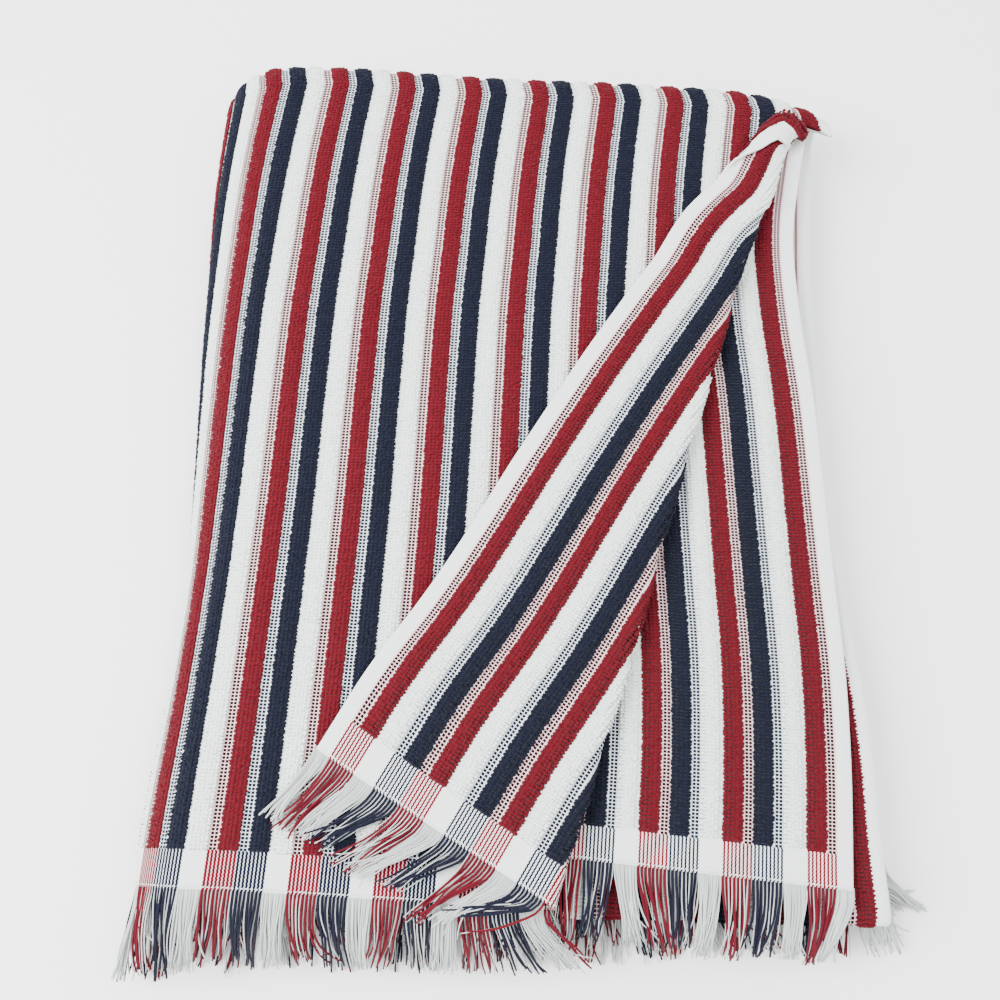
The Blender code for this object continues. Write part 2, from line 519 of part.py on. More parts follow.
def main():
    for obj in list(bpy.data.objects):
        bpy.data.objects.remove(obj)
    collection = bpy.data.collections.new("beach_towel")
    bpy.context.scene.collection.children.link(collection)
    stand_on_origin([make_cloth(collection),
                     make_fringe("fringe_front", 0.0, LEAN_FRONT, collection),
                     make_fringe("fringe_under", LENGTH, LEAN_UNDER, collection)])


main()
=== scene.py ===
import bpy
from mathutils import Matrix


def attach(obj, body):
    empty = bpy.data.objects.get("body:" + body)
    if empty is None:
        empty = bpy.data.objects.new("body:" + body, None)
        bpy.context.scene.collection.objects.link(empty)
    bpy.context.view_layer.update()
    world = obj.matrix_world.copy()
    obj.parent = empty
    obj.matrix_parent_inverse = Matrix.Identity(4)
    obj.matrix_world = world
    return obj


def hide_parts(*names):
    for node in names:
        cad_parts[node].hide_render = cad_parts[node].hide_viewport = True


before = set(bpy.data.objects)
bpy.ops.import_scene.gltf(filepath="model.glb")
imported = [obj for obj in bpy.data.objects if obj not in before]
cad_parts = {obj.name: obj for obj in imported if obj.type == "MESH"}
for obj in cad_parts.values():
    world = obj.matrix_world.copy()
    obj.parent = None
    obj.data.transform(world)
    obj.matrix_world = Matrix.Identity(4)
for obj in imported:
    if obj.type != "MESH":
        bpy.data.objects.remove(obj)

"""Striped terry beach towel, folded in eight layers with one corner turned back, and fringed at both ends.

The cloth is one sheet in flat coordinates of its own, in metres: u runs along the weft from the left
selvedge, and v along the warp from the front end. fold() carries a flat point to its place in the folded
towel, and the pile's loops and the fringes' yarns are set on the sheet through it.
"""

import math

import bmesh
import bpy
import numpy as np
from bpy.props import FloatProperty, FloatVectorProperty, IntProperty, PointerProperty
from mathutils import Matrix, Vector

bl_info = {
    "name": "Folded Beach Towel",
    "version": (1, 0, 0),
    "blender": (4, 5, 0),
    "location": "View3D > Sidebar > Towel",
    "description": "A folded terry beach towel with pile stripes, woven headers and fringes",
    "category": "Object",
}

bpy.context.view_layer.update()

# ---- Sizes of the weave, in metres unless the comment says columns ----

COLUMN, ROW = 0.0019, 0.00182  # one warp column, and one row of loops
SELVEDGE = 4  # columns of plain edge
LEAD_WHITE = 6  # white columns inside the left selvedge
FIRST = SELVEDGE + LEAD_WHITE  # column where the repeats start
SECTION = 8  # columns of a red or a navy section: net and pile
NET = 3  # columns of net in it
DOTS_FROM, DOT_COLUMNS = 0.40, 2  # the net's dots: first column, and how many
DOT_HALF = (0.40, 0.38)  # half sizes of a dot, in columns and in rows
WHITE_SECTION, WHITE_FLAT = 6, 1.5  # columns of a white section, and of flat white in it
REPEAT = 2 * SECTION + WHITE_SECTION
REPEATS = 17  # a last red section closes them
COLUMNS = FIRST + REPEAT * REPEATS + SECTION + SELVEDGE
WIDTH = COLUMNS * COLUMN
LAST_RED = WIDTH - (SELVEDGE + (SECTION - NET) / 2) * COLUMN  # u of the last red pile's middle
HEADER, UNDER_HEADER = 0.0185, 0.0165  # flat woven ends, at the front and at the other end

# Half thicknesses: of a net stripe, of pressed pile, and of the cloth below the pile's loops
GROUND_HALF, HIDDEN_HALF, PILE_HALF = 0.0009, 0.0015, 0.0019
RIM_HALF = 0.7 * GROUND_HALF  # at the two selvedges' edges
LAYERS, PITCH = 8, 0.0060  # layers, and from one to the next
FLOOR_LAYER = 0.0016  # height of the lowest layer's middle
MIDDLE = FLOOR_LAYER + (LAYERS - 1) / 2 * PITCH

# Where the folded towel's own origin lies in the part's frame
PLACE = np.array([-0.025636, -0.017740, 0.0])

# ---- The fold, as in the part ----

FRONT_EDGE, UNDER_EDGE = -0.2035, -0.195  # y of the cloth's two ends
TOP_BEND, LOW_BEND = 0.271, -0.206  # y where the turns start
OUTER_REACH, INNER_REACH, BOTTOM_REACH = 0.016, 0.006, 0.005  # how far the turns stand out there
BEND_POINTS = 64  # points along half a turn
FRONT_SLANT, FRONT_SLANT_FROM = 0.030, -0.130  # slope of the top panel's end, and the x where it starts
UNDER_SLANT, UNDER_SLANT_FROM = 0.085, 0.165  # the same of the second panel's end, up to the left
UNDER_SLANT_WIDTH = 0.120  # how far left that slope goes on
SLANT_START, SLANT_LENGTH = 0.050, 0.200  # the slants grow from this y towards the front
# x, and how much nearer the front the top fold lies there
TOP_DROP = [
    (-0.19, 0.004), (-0.15, 0.001), (-0.11, 0.0), (-0.055, 0.003), (0.0, 0.006), (0.055, 0.007),
    (0.1, 0.009), (0.15, 0.013), (0.17, 0.018), (0.185, 0.025), (0.2, 0.031), (0.22, 0.034)]
DROP_START, DROP_LENGTH = 0.120, 0.150  # the drop grows from this y towards the top fold

# y, and x of the middle of the last red stripe on each panel
GUIDE_1 = [
    (0.271, 0.186), (0.222, 0.1805), (0.188, 0.1778), (0.155, 0.1759), (0.123, 0.1739), (0.06, 0.172),
    (0.0, 0.1707), (-0.06, 0.1685), (-0.12, 0.1662), (-0.206, 0.1625)]
GUIDE_4 = [(0.271, 0.178), (0.164, 0.1726), (0.1, 0.1705), (0.0, 0.172), (-0.1, 0.1805), (-0.206, 0.1866)]
GUIDE_3 = [
    (0.271, 0.172), (0.2, 0.162), (0.1, 0.1605), (0.0, 0.1675), (-0.047, 0.1746), (-0.096, 0.182),
    (-0.13, 0.1845), (-0.17, 0.185), (-0.206, 0.1866)]
GUIDE_2 = [
    (0.271, 0.172), (0.245, 0.1675), (0.222, 0.1642), (0.195, 0.1608), (0.171, 0.1592), (0.124, 0.1602),
    (0.066, 0.165), (0.012, 0.1672), (-0.039, 0.1692), (-0.087, 0.1712), (-0.133, 0.1706), (-0.195, 0.167)]
# y, outermost x of the lengthwise fold, and how far the upper layers slope down to it
LEFT_FOLD = [
    (0.287, -0.183, 0.04), (0.207, -0.1845, 0.046), (0.123, -0.1815, 0.05), (0.008, -0.1755, 0.05),
    (-0.044, -0.1735, 0.048), (-0.094, -0.1755, 0.044), (-0.172, -0.181, 0.034), (-0.26, -0.182, 0.03)]
# y and x of the left selvedge, on the lowest layer
HIDDEN_SELVEDGE = [
    (0.287, 0.172), (0.1, 0.177), (0.0, 0.181), (-0.1, 0.195), (-0.15, 0.2025), (-0.206, 0.2085),
    (-0.26, 0.211)]
HIDDEN_STEP = 0.006  # how far inside it the left selvedge of the innermost layer ends
UNDER_SKEW = 0.019  # how far the top panel's lower half lies further up at the front
# The lengthwise fold's loops, from the innermost to the outermost
NEST = 0.024  # how far inside the outermost loop the innermost one ends
INNER_FOLD = 0.3265  # from the last red stripe to where the innermost loop is widest
INNER_SLOPE = 0.022  # run of its slope
INNER_LINE_END, INNER_LINE_FADE = 0.250, 0.100  # y where it leaves the stripe's line, and the run
EQUATOR_DROP = 0.0125  # how far below the middle the outermost loop is widest
TIP_REACH = (0.005, 0.010)  # how far the innermost and the outermost loop bulge out
UPPER_POWER, TIP_POWER = 1.75, 2.0  # powers of the curves above and below that
LOOP_BEND_POINTS = 40  # points along each curve
# y, and x of the turned-back corner's crease on the top panel
CREASE = [
    (-0.27, 0.0095), (-0.206, 0.0285), (-0.15, 0.045), (-0.1, 0.061), (0.0, 0.09), (0.06, 0.1075),
    (0.1, 0.1198), (0.129, 0.1288), (0.161, 0.138), (0.198, 0.1515), (0.22, 0.1585), (0.24, 0.1655),
    (0.254, 0.173), (0.264, 0.1825), (0.271, 0.193), (0.3, 0.24)]
ROLL = 0.0033  # radius of the crease's roll
CREASE_ARC = math.pi * ROLL  # cloth that the roll takes up
CREASE_STEP = 0.002  # half the run that its slope is taken over
CREASE_PASSES, CREASE_PULL = 6, 0.6  # passes to its nearest point, and the pull of each
# The corner's own edge is folded once more near the tip: v, how wide that lip is, and the radius of its fold
LIP = [(0.38, 0.0), (0.395, 0.0), (0.41, 0.0055), (0.43, 0.0125), (0.445, 0.0155), (0.5, 0.0165)]
LIP_ROLL = 0.0020
# v, and how far the corner's edge arches out there; which way it does; and how far past the crease it is full
ARCH = [
    (0.38, 0.0), (0.4, 0.0), (0.42, 0.0045), (0.43, 0.008), (0.44, 0.0115), (0.45, 0.015), (0.46, 0.018),
    (0.5, 0.018)]
ARCH_WAY = (-0.35, 0.94)
ARCH_REACH = 0.011
PROBE = 2e-4  # flat step for the cloth's directions


def smooth_table(table, column=1):
    """A function that runs smoothly through a table's (key, value) rows."""
    rows = sorted(table)
    keys = np.array([row[0] for row in rows])
    values = np.array([row[column] for row in rows])
    slopes = np.gradient(values, keys)

    def at(key):
        key = np.clip(key, keys[0], keys[-1])
        i = np.clip(np.searchsorted(keys, key) - 1, 0, len(keys) - 2)
        span = keys[i + 1] - keys[i]
        t = (key - keys[i]) / span
        return ((2 * t**3 - 3 * t**2 + 1) * values[i] + (t**3 - 2 * t**2 + t) * span * slopes[i]
                + (3 * t**2 - 2 * t**3) * values[i + 1] + (t**3 - t**2) * span * slopes[i + 1])
    return at


def half_bell(t):
    """Smooth rise from 0 to 1 as t goes from 0 to 1."""
    t = np.clip(t, 0, 1)
    return t * t * (3 - 2 * t)


class Bend:
    """A turn of the cloth's length from one height to another, as half an ellipse."""

    def __init__(self, reach, low, high):
        angle = np.linspace(0, math.pi / 2, BEND_POINTS)
        self.out = reach * np.sin(angle)
        self.along = (high - low) / 2 * (1 - np.cos(angle))
        self.length = np.concatenate([[0], np.cumsum(np.hypot(np.diff(self.out), np.diff(self.along)))])
        self.total = 2 * self.length[-1]
        self.low, self.high = low, high

    def at(self, s):
        """How far out and how high a point s along the turn lies, counted from its upper end."""
        first = np.minimum(s, self.total - s)
        out = np.interp(first, self.length, self.out)
        fall = np.interp(first, self.length, self.along)
        return out, np.where(s < self.total / 2, self.high - fall, self.low + fall)


# Heights of the four panels' upper halves above the middle, from the top one down
HEIGHTS = [((LAYERS - 1) / 2 - k) * PITCH for k in range(LAYERS // 2)]
OUTER_TURN = Bend(OUTER_REACH, HEIGHTS[3], HEIGHTS[0])
BOTTOM_TURN = Bend(BOTTOM_REACH, HEIGHTS[3], HEIGHTS[2])
INNER_TURN = Bend(INNER_REACH, HEIGHTS[2], HEIGHTS[1])
V_OUTER = TOP_BEND - FRONT_EDGE
V_BACK = V_OUTER + OUTER_TURN.total
V_BOTTOM = V_BACK + TOP_BEND - LOW_BEND
V_THIRD = V_BOTTOM + BOTTOM_TURN.total
V_INNER = V_THIRD + TOP_BEND - LOW_BEND
V_SECOND = V_INNER + INNER_TURN.total
LENGTH = V_SECOND + TOP_BEND - UNDER_EDGE

guide_1, guide_2, guide_3, guide_4 = (smooth_table(t) for t in (GUIDE_1, GUIDE_2, GUIDE_3, GUIDE_4))
left_edge, left_slope = smooth_table(LEFT_FOLD, 1), smooth_table(LEFT_FOLD, 2)
hidden_selvedge = smooth_table(HIDDEN_SELVEDGE)
crease_x = smooth_table(CREASE)
top_drop = smooth_table(TOP_DROP)
lip_width = smooth_table(LIP)
arch = smooth_table(ARCH)


def along_length(v):
    """Where the cloth's length takes a point: y, height above the middle, and x of the last red stripe."""
    out_1, high_1 = OUTER_TURN.at(np.clip(v - V_OUTER, 0, OUTER_TURN.total))
    out_2, low_2 = BOTTOM_TURN.at(BOTTOM_TURN.total - np.clip(v - V_BOTTOM, 0, BOTTOM_TURN.total))
    out_3, high_3 = INNER_TURN.at(INNER_TURN.total - np.clip(v - V_INNER, 0, INNER_TURN.total))
    turn_1 = np.clip((v - V_OUTER) / OUTER_TURN.total, 0, 1)
    turn_2 = np.clip((v - V_BOTTOM) / BOTTOM_TURN.total, 0, 1)
    y_1, y_4 = FRONT_EDGE + v, TOP_BEND - (v - V_BACK)
    y_3, y_2 = LOW_BEND + (v - V_THIRD), TOP_BEND - (v - V_SECOND)
    where = [v < V_OUTER, v < V_BACK, v < V_BOTTOM, v < V_THIRD, v < V_INNER, v < V_SECOND]
    y = np.select(where, [y_1, TOP_BEND + out_1, y_4, LOW_BEND - out_2, y_3, TOP_BEND + out_3], y_2)
    level = [height + 0 * v for height in HEIGHTS]
    high = np.select(where, [level[0], high_1, level[3], low_2, level[2], high_3], level[1])
    top = (1 - turn_1) * guide_1(TOP_BEND) + turn_1 * guide_4(TOP_BEND)
    low = (1 - turn_2) * guide_4(LOW_BEND) + turn_2 * guide_3(LOW_BEND)
    x = np.select(where, [guide_1(y_1), top, guide_4(y_4), low, guide_3(y_3), guide_2(TOP_BEND) + 0 * v],
                  guide_2(y_2))
    return y, high, x


def left_fold(x, y, high, last_red):
    """Carry a layer round the lengthwise fold: x is its flat place, high its height above the middle."""
    share = (high - HEIGHTS[3]) / (HEIGHTS[0] - HEIGHTS[3])  # 0 on the innermost loop, 1 on the outermost
    along_stripe = (1 - share) ** 3 * half_bell((INNER_LINE_END - y) / INNER_LINE_FADE)
    widest = left_edge(y) + NEST * (1 - share)
    widest += along_stripe * (last_red - INNER_FOLD - widest)
    start = left_edge(y) + left_slope(y)
    start += along_stripe * (last_red - INNER_FOLD + INNER_SLOPE - start)
    level = -EQUATOR_DROP * share
    upper_reach, upper_fall = start - widest, high - level
    tip_reach = TIP_REACH[0] + (TIP_REACH[1] - TIP_REACH[0]) * share
    tip_fall = level + high
    angle = np.linspace(0, math.pi / 2, LOOP_BEND_POINTS)
    out_u = np.sin(angle) ** (2 / UPPER_POWER) * upper_reach[:, None]
    fall_u = (1 - np.cos(angle) ** (2 / UPPER_POWER)) * upper_fall[:, None]
    out_t = np.cos(angle) ** (2 / TIP_POWER) * tip_reach[:, None]
    fall_t = np.sin(angle) ** (2 / TIP_POWER) * tip_fall[:, None]
    path_x = np.concatenate([start[:, None] - out_u, (widest + tip_reach)[:, None] - out_t], axis=1)
    path_z = np.concatenate([high[:, None] - fall_u, level[:, None] - fall_t], axis=1)
    steps = np.hypot(np.diff(path_x, axis=1), np.diff(path_z, axis=1))
    length = np.concatenate([np.zeros((len(x), 1)), np.cumsum(steps, axis=1)], axis=1)
    gone = start - x  # cloth used since the bend's start
    i = np.clip((length < gone[:, None]).sum(axis=1) - 1, 0, length.shape[1] - 2)
    rows = np.arange(len(x))
    part = np.clip((gone - length[rows, i]) / np.maximum(length[rows, i + 1] - length[rows, i], 1e-9), 0, 1)
    bend_x = path_x[rows, i] + part * (path_x[rows, i + 1] - path_x[rows, i])
    bend_z = path_z[rows, i] + part * (path_z[rows, i + 1] - path_z[rows, i])
    total = length[:, -1]
    reach = LAST_RED - (last_red - start) - total  # cloth from the loop's end to the selvedge
    target = hidden_selvedge(y) - HIDDEN_STEP * (1 - share)
    under_start = widest + tip_reach
    under_x = under_start + (gone - total) / reach * (target - under_start)
    new_x = np.where(gone <= 0, x, np.where(gone < total, bend_x, under_x))
    new_z = np.where(gone <= 0, high, np.where(gone < total, bend_z, -high))
    return new_x, new_z, np.clip((gone - total) / reach, 0, 1)


def crease_foot(x, y):
    """Signed distance of a flat point past the crease, and the crease's normal, at its nearest point."""
    foot_y = y
    for _ in range(CREASE_PASSES):
        slope = (crease_x(foot_y + CREASE_STEP) - crease_x(foot_y - CREASE_STEP)) / (2 * CREASE_STEP)
        norm = np.sqrt(1 + slope**2)
        past = ((x - crease_x(foot_y)) - slope * (y - foot_y)) / norm
        foot_y = y + CREASE_PULL * (past * slope / norm) + (1 - CREASE_PULL) * (foot_y - y)
        foot_y = np.clip(foot_y, CREASE[0][0], CREASE[-1][0])
    return past, 1 / norm, -slope / norm


def turn_back(x, y):
    """Roll what lies past the crease up and over to the left: new x and y, rise, and distance past it."""
    past, nx, ny = crease_foot(x, y)
    angle = np.clip(past / ROLL, 0, math.pi)
    in_roll = past < CREASE_ARC
    shift = np.where(past <= 0, past, np.where(in_roll, ROLL * np.sin(angle), -(past - CREASE_ARC)))
    rise = np.where(past <= 0, 0, np.where(in_roll, ROLL * (1 - np.cos(angle)), 2 * ROLL))
    return x + (shift - past) * nx, y + (shift - past) * ny, rise, past


def fold_lip(u, v):
    """Fold the turned-back corner's edge over once more: u of the cloth below it, and how high it lies."""
    crease = WIDTH - lip_width(v)
    over = np.where((v < V_OUTER) & (lip_width(v) > 1e-5), np.clip(u - crease, 0, None), 0.0)
    angle = np.clip(over / LIP_ROLL, 0, math.pi)
    past_roll = crease - (over - math.pi * LIP_ROLL)
    below = np.where(angle < math.pi, crease + LIP_ROLL * np.sin(angle), past_roll)
    return np.where(over > 0, below, u), LIP_ROLL * (1 - np.cos(angle))


def fold(u, v):
    """Places in the part's frame of flat points (u, v)."""
    u, v = np.asarray(u, float), np.asarray(v, float)
    u, lift = fold_lip(u, v)
    y, high, last_red = along_length(v)
    flat_x = last_red + (u - LAST_RED)
    x, z, under = left_fold(flat_x, y, high, last_red)
    near_front = half_bell((SLANT_START - y) / SLANT_LENGTH)
    skew = UNDER_SKEW * under * half_bell(-y / SLANT_LENGTH)
    slant = FRONT_SLANT * np.clip(flat_x - FRONT_SLANT_FROM, 0, None) * near_front
    under_slant = UNDER_SLANT * np.clip(UNDER_SLANT_FROM - flat_x, None, UNDER_SLANT_WIDTH) * near_front
    y = y + np.where(v < V_OUTER, skew - slant, np.where(v > V_SECOND, under_slant, 0))
    on_top = (v < V_OUTER) & (flat_x > 0)
    turned_x, turned_y, rise, past = turn_back(flat_x, y)
    x, y = np.where(on_top, turned_x, x), np.where(on_top, turned_y, y)
    z = np.where(on_top, z + rise + lift, z)
    y = y - top_drop(x) * half_bell((y - DROP_START) / DROP_LENGTH)
    out = np.where(on_top, arch(v) * half_bell(past / ARCH_REACH), 0.0)
    return np.stack([x + out * ARCH_WAY[0], y + out * ARCH_WAY[1], z + MIDDLE], axis=-1) + PLACE


def frames(u, v):
    """Places of flat points with the directions across and along the cloth there, and its normal."""
    place = fold(u, v)
    across = fold(u + PROBE, v) - fold(u - PROBE, v)
    along = fold(u, v + PROBE) - fold(u, v - PROBE)
    across /= np.linalg.norm(across, axis=-1, keepdims=True)
    along /= np.linalg.norm(along, axis=-1, keepdims=True)
    normal = np.cross(across, along)
    return place, across, along, normal / np.linalg.norm(normal, axis=-1, keepdims=True)


def past_crease(u, v):
    """How far past the turned-back corner's crease a flat point of the top panel lies, in metres."""
    y, _, last_red = along_length(v)
    return crease_foot(last_red + (u - LAST_RED), y)[0]


# ---- The weave's sections ----

RED, NAVY, WHITE = 0, 1, 2


def section_of(column):
    """Which section a warp column lies in, and how far into it, in columns."""
    at = (np.asarray(column, float) - FIRST) % REPEAT
    inside = np.where(at < SECTION, at, np.where(at < 2 * SECTION, at - SECTION, at - 2 * SECTION))
    kind = np.where(at < SECTION, RED, np.where(at < 2 * SECTION, NAVY, WHITE))
    plain = (column < FIRST) | (column >= COLUMNS - SELVEDGE)
    return np.where(plain, WHITE, kind), np.where(plain, 0.0, inside)


def across_pile(u, face_b):
    """Where a flat point lies across its pile stripe on one face: from -1 to 1 between the stripe's edges."""
    kind, inside = section_of(u / COLUMN)
    wide = np.where(kind == WHITE, WHITE_SECTION, SECTION)
    flat = np.where(kind == WHITE, WHITE_FLAT, NET)
    middle = np.where(face_b, (wide - flat) / 2, (wide + flat) / 2)
    return (inside - middle) / ((wide - flat) / 2)


def pile_share(u, face_b):
    """How far the pile of one face is raised: 0 on nets and selvedges, and round over each stripe."""
    column = u / COLUMN
    on_weave = (column > FIRST) & (column < COLUMNS - SELVEDGE)
    across = np.abs(across_pile(u, face_b))
    return np.where(on_weave, np.sqrt(np.clip(1 - across**3, 0, 1)), 0.0)


# ---- Meshes ----

def finished(obj, material):
    """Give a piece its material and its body."""
    obj.data.materials.clear()
    obj.data.materials.append(material)
    bpy.context.scene.collection.objects.link(obj)
    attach(obj, "root")
    return obj


def joined(name, corners, faces, values):
    """One mesh of many bodies with the same faces: corners is (bodies, points, 3), and values holds a number
    for every body under each attribute's name."""
    bodies, points = corners.shape[:2]
    mesh = bpy.data.meshes.new(name)
    every = [np.array(face)[None, :] + np.arange(bodies)[:, None] * points for face in faces]
    mesh.from_pydata(corners.reshape(-1, 3), [], [row for block in every for row in block.tolist()])
    for key, value in values.items():
        attribute = mesh.attributes.new(key, "FLOAT", "POINT")
        attribute.data.foreach_set("value", np.repeat(value, points).astype(np.float32))
    mesh.shade_smooth()
    return bpy.data.objects.new(name, mesh)


# u where the sheet's coarse columns end, how many they are, and u where its ribs and the loops start
COARSE_END, COARSE_COLUMNS, RIBS_FROM, LOOPS_FROM = 0.320, 22, 0.325, 0.332
HEADER_SIDE, PILE_SIDE = 0.0012, 0.0016  # rows on each side of a header's inner edge
PILE_RISE = 0.0015  # run over which the pile rises past a header
PAST_TURN = 0.004  # how far past the top turn the ribs go on


def sheet_columns():
    """u of the sheet's columns: coarse inside the stack, and close where the ribs show."""
    coarse = np.linspace(0, COARSE_END, COARSE_COLUMNS).tolist()
    marks = (0.0, NET - 0.05, NET + 0.3, NET + 1.1, NET + 2.5, SECTION - 1.1, SECTION - 0.3)
    white = (0.0, WHITE_FLAT, WHITE_FLAT + 0.7, WHITE_FLAT + 2.25, WHITE_SECTION - 0.7)
    ribs = []
    for i in range(REPEATS + 1):
        start = FIRST + REPEAT * i
        ribs += [start + m for m in marks] + [start + SECTION + m for m in marks]
        ribs += [start + 2 * SECTION + m for m in white]
    ribs = [c * COLUMN for c in ribs if RIBS_FROM < c * COLUMN < (COLUMNS - SELVEDGE) * COLUMN + 1e-6]
    edge = [WIDTH - SELVEDGE * COLUMN * k for k in (0.6, 0.1, 0.0)]
    return np.array(coarse + ribs + edge)


def sheet_rows():
    """v of the sheet's rows: close on the panels that show."""
    pile_end = LENGTH - UNDER_HEADER
    ends = [(HEADER - HEADER_SIDE, 4), (HEADER + PILE_SIDE, 3), (V_OUTER, 84), (V_BACK, 20), (V_BOTTOM, 14),
            (V_THIRD, 8), (V_INNER, 14), (V_SECOND, 8), (pile_end - PILE_SIDE, 50),
            (pile_end + HEADER_SIDE, 3), (LENGTH, 4)]
    rows = [0.0]
    for end, steps in ends:
        rows += np.linspace(rows[-1], end, steps + 1)[1:].tolist()
    return np.array(rows)


def face_height(u, v, face_b):
    """Half thickness of the cloth on one face, before the loops."""
    past_header = np.minimum(v - HEADER, LENGTH - UNDER_HEADER - v)
    covered = (v > V_BACK + PAST_TURN) & (v < V_SECOND)
    rise = pile_share(u, face_b) * half_bell(past_header / PILE_RISE)
    raised = GROUND_HALF + (PILE_HALF - GROUND_HALF) * rise
    hidden = np.where(past_header < 0, GROUND_HALF, HIDDEN_HALF)
    rim = (u < 1e-6) | (u > WIDTH - 1e-6)
    return np.where(rim, RIM_HALF, np.where(covered | (u < RIBS_FROM), hidden, raised))


def make_sheet():
    """The cloth as a thin closed sheet with both faces, made flat and then carried into its folds."""
    columns, rows = sheet_columns(), sheet_rows()
    bm = bmesh.new()
    bmesh.ops.create_grid(bm, x_segments=len(columns) - 1, y_segments=len(rows) - 1, size=0.5)
    upper = bmesh.ops.extrude_face_region(bm, geom=bm.faces[:], use_keep_orig=True)["geom"]
    bmesh.ops.translate(bm, vec=(0, 0, 1), verts=[g for g in upper if isinstance(g, bmesh.types.BMVert)])
    bmesh.ops.recalc_face_normals(bm, faces=bm.faces)
    flat = np.array([w.co[:] for w in bm.verts])
    u = columns[np.rint((flat[:, 0] + 0.5) * (len(columns) - 1)).astype(int)]
    v = rows[np.rint((flat[:, 1] + 0.5) * (len(rows) - 1)).astype(int)]
    face_b = flat[:, 2] < 0.5
    place, _, _, normal = frames(u, v)
    half = np.where(face_b, -face_height(u, v, True), face_height(u, v, False))
    place = place + normal * half[:, None]
    place[:, 2] = np.maximum(place[:, 2], 0.0)
    weave = bm.loops.layers.uv.new("weave")
    for w in bm.verts:
        spot = (u[w.index], v[w.index])
        for loop in w.link_loops:
            loop[weave].uv = spot
        w.co = place[w.index]
    mesh = bpy.data.meshes.new("towel_sheet")
    bm.to_mesh(mesh)
    bm.free()
    side = mesh.attributes.new("face_b", "FLOAT", "POINT")
    side.data.foreach_set("value", face_b.astype(np.float32))
    mesh.shade_smooth()
    return bpy.data.objects.new("towel_sheet", mesh)


COVER_MARGIN = 0.010  # how far in from the corner's edges the pile under it stops
MARGIN, MARGIN_RUN = 0.034, 0.240  # width and length of the third panel's strip that shows
UNDER_CORNER = 0.012  # how far the second panel's pile goes in under the corner
ROLL_SHOWS = 0.4  # share of the crease's roll where the corner's loops start
LIP_CLEAR = 1.6  # widths of the lip that they keep clear of
LOOPS_ACROSS = 5  # loops side by side on a pile stripe
PILE_SPREAD = 0.25  # columns by which they spread past the stripe's own
LOOP_SINK = 0.0004  # how deep a loop's foot lies in the cloth
EDGE_LEAN, EDGE_DROP = 0.35, 0.45  # how a stripe's outer loops lean out, and how much lower they are
EDGE_FOOT = 0.95  # how far out on the stripe's round they stand
# How the loops vary: spread of their place in columns and rows; middle and spread of their degrees turned and
# of their lean forward and aside; and the shares that width, depth and height lie between
LOOP_STRAY = (0.05, 0.08)
LOOP_YAW = (8, 12)
LOOP_LEAN, LOOP_TILT = (0.15, 0.25), (0, 0.2)
LOOP_WIDE, LOOP_DEEP, LOOP_HIGH = (0.92, 1.12), (0.85, 1.15), (0.75, 1.25)
# A loop of pile: six points round its foot and two on its crest, in shares of its width, length and height
LOOP_POINTS = np.array([(-0.5, -0.25, 0), (0, -0.5, 0), (0.5, -0.25, 0), (0.5, 0.25, 0), (0, 0.5, 0),
                        (-0.5, 0.25, 0), (-0.36, 0, 1), (0.36, 0, 1)])
LOOP_FACES = [(0, 1, 6), (1, 7, 6), (1, 2, 7), (2, 3, 7), (3, 4, 7), (4, 6, 7), (4, 5, 6), (5, 0, 6),
              (0, 5, 4, 3, 2, 1)]


def beneath_corner(u, v):
    """Whether a flat point of the top panel lies well under its turned-back corner."""
    y, _, last_red = along_length(v)
    x = last_red + (u - LAST_RED)
    past, nx, ny = crease_foot(x, y)
    mirror = CREASE_ARC - 2 * past
    cover_y = y + mirror * ny
    cover_u = x + mirror * nx - guide_1(cover_y) + LAST_RED
    return (past < 0) & (cover_u < WIDTH - COVER_MARGIN) & (cover_y > FRONT_EDGE + COVER_MARGIN)


def pile_columns(kind, face_b):
    """Columns of loops in every section of a colour, on one face."""
    wide, flat = (WHITE_SECTION, WHITE_FLAT) if kind == WHITE else (SECTION, NET)
    pitch = (wide - flat + PILE_SPREAD) / LOOPS_ACROSS
    inside = (wide + flat) / 2 + (np.arange(LOOPS_ACROSS) - (LOOPS_ACROSS - 1) / 2) * pitch
    if face_b:
        inside = wide - inside
    starts = FIRST + REPEAT * np.arange(REPEATS + 1) + (0, SECTION, 2 * SECTION)[kind]
    columns = (starts[:, None] + inside[None, :]).ravel()
    return columns[columns < COLUMNS - SELVEDGE], pitch


def loop_field(kind, face_b, v_low, v_high, u_low=0.0):
    """u and v of one colour's loops on a face, between two rows and past u_low, and their columns' width."""
    columns, pitch = pile_columns(kind, face_b)
    columns = columns[columns * COLUMN > u_low]
    rows = np.arange(v_low, v_high, ROW)
    u, v = np.meshgrid(columns * COLUMN, rows)
    return u.ravel(), v.ravel(), pitch * COLUMN


def panel_fields(kind):
    """Where the first face shows its loops: the top panel, both its turns and the third panel's margin."""
    u, v, pitch = loop_field(kind, False, HEADER + ROW / 2, V_OUTER, LOOPS_FROM)
    lip = WIDTH - u < lip_width(v)
    flat = ((past_crease(u, v) < CREASE_ARC) & ~beneath_corner(u, v)) | lip
    others = [loop_field(kind, False, V_OUTER + ROW / 2, V_BACK),
              loop_field(kind, False, V_BOTTOM - 2 * ROW, V_THIRD + 4 * ROW),
              loop_field(kind, False, V_THIRD + 4.5 * ROW, V_THIRD + MARGIN_RUN, WIDTH - MARGIN)]
    return [(False, u[flat], v[flat], pitch)] + [(False, *field) for field in others]


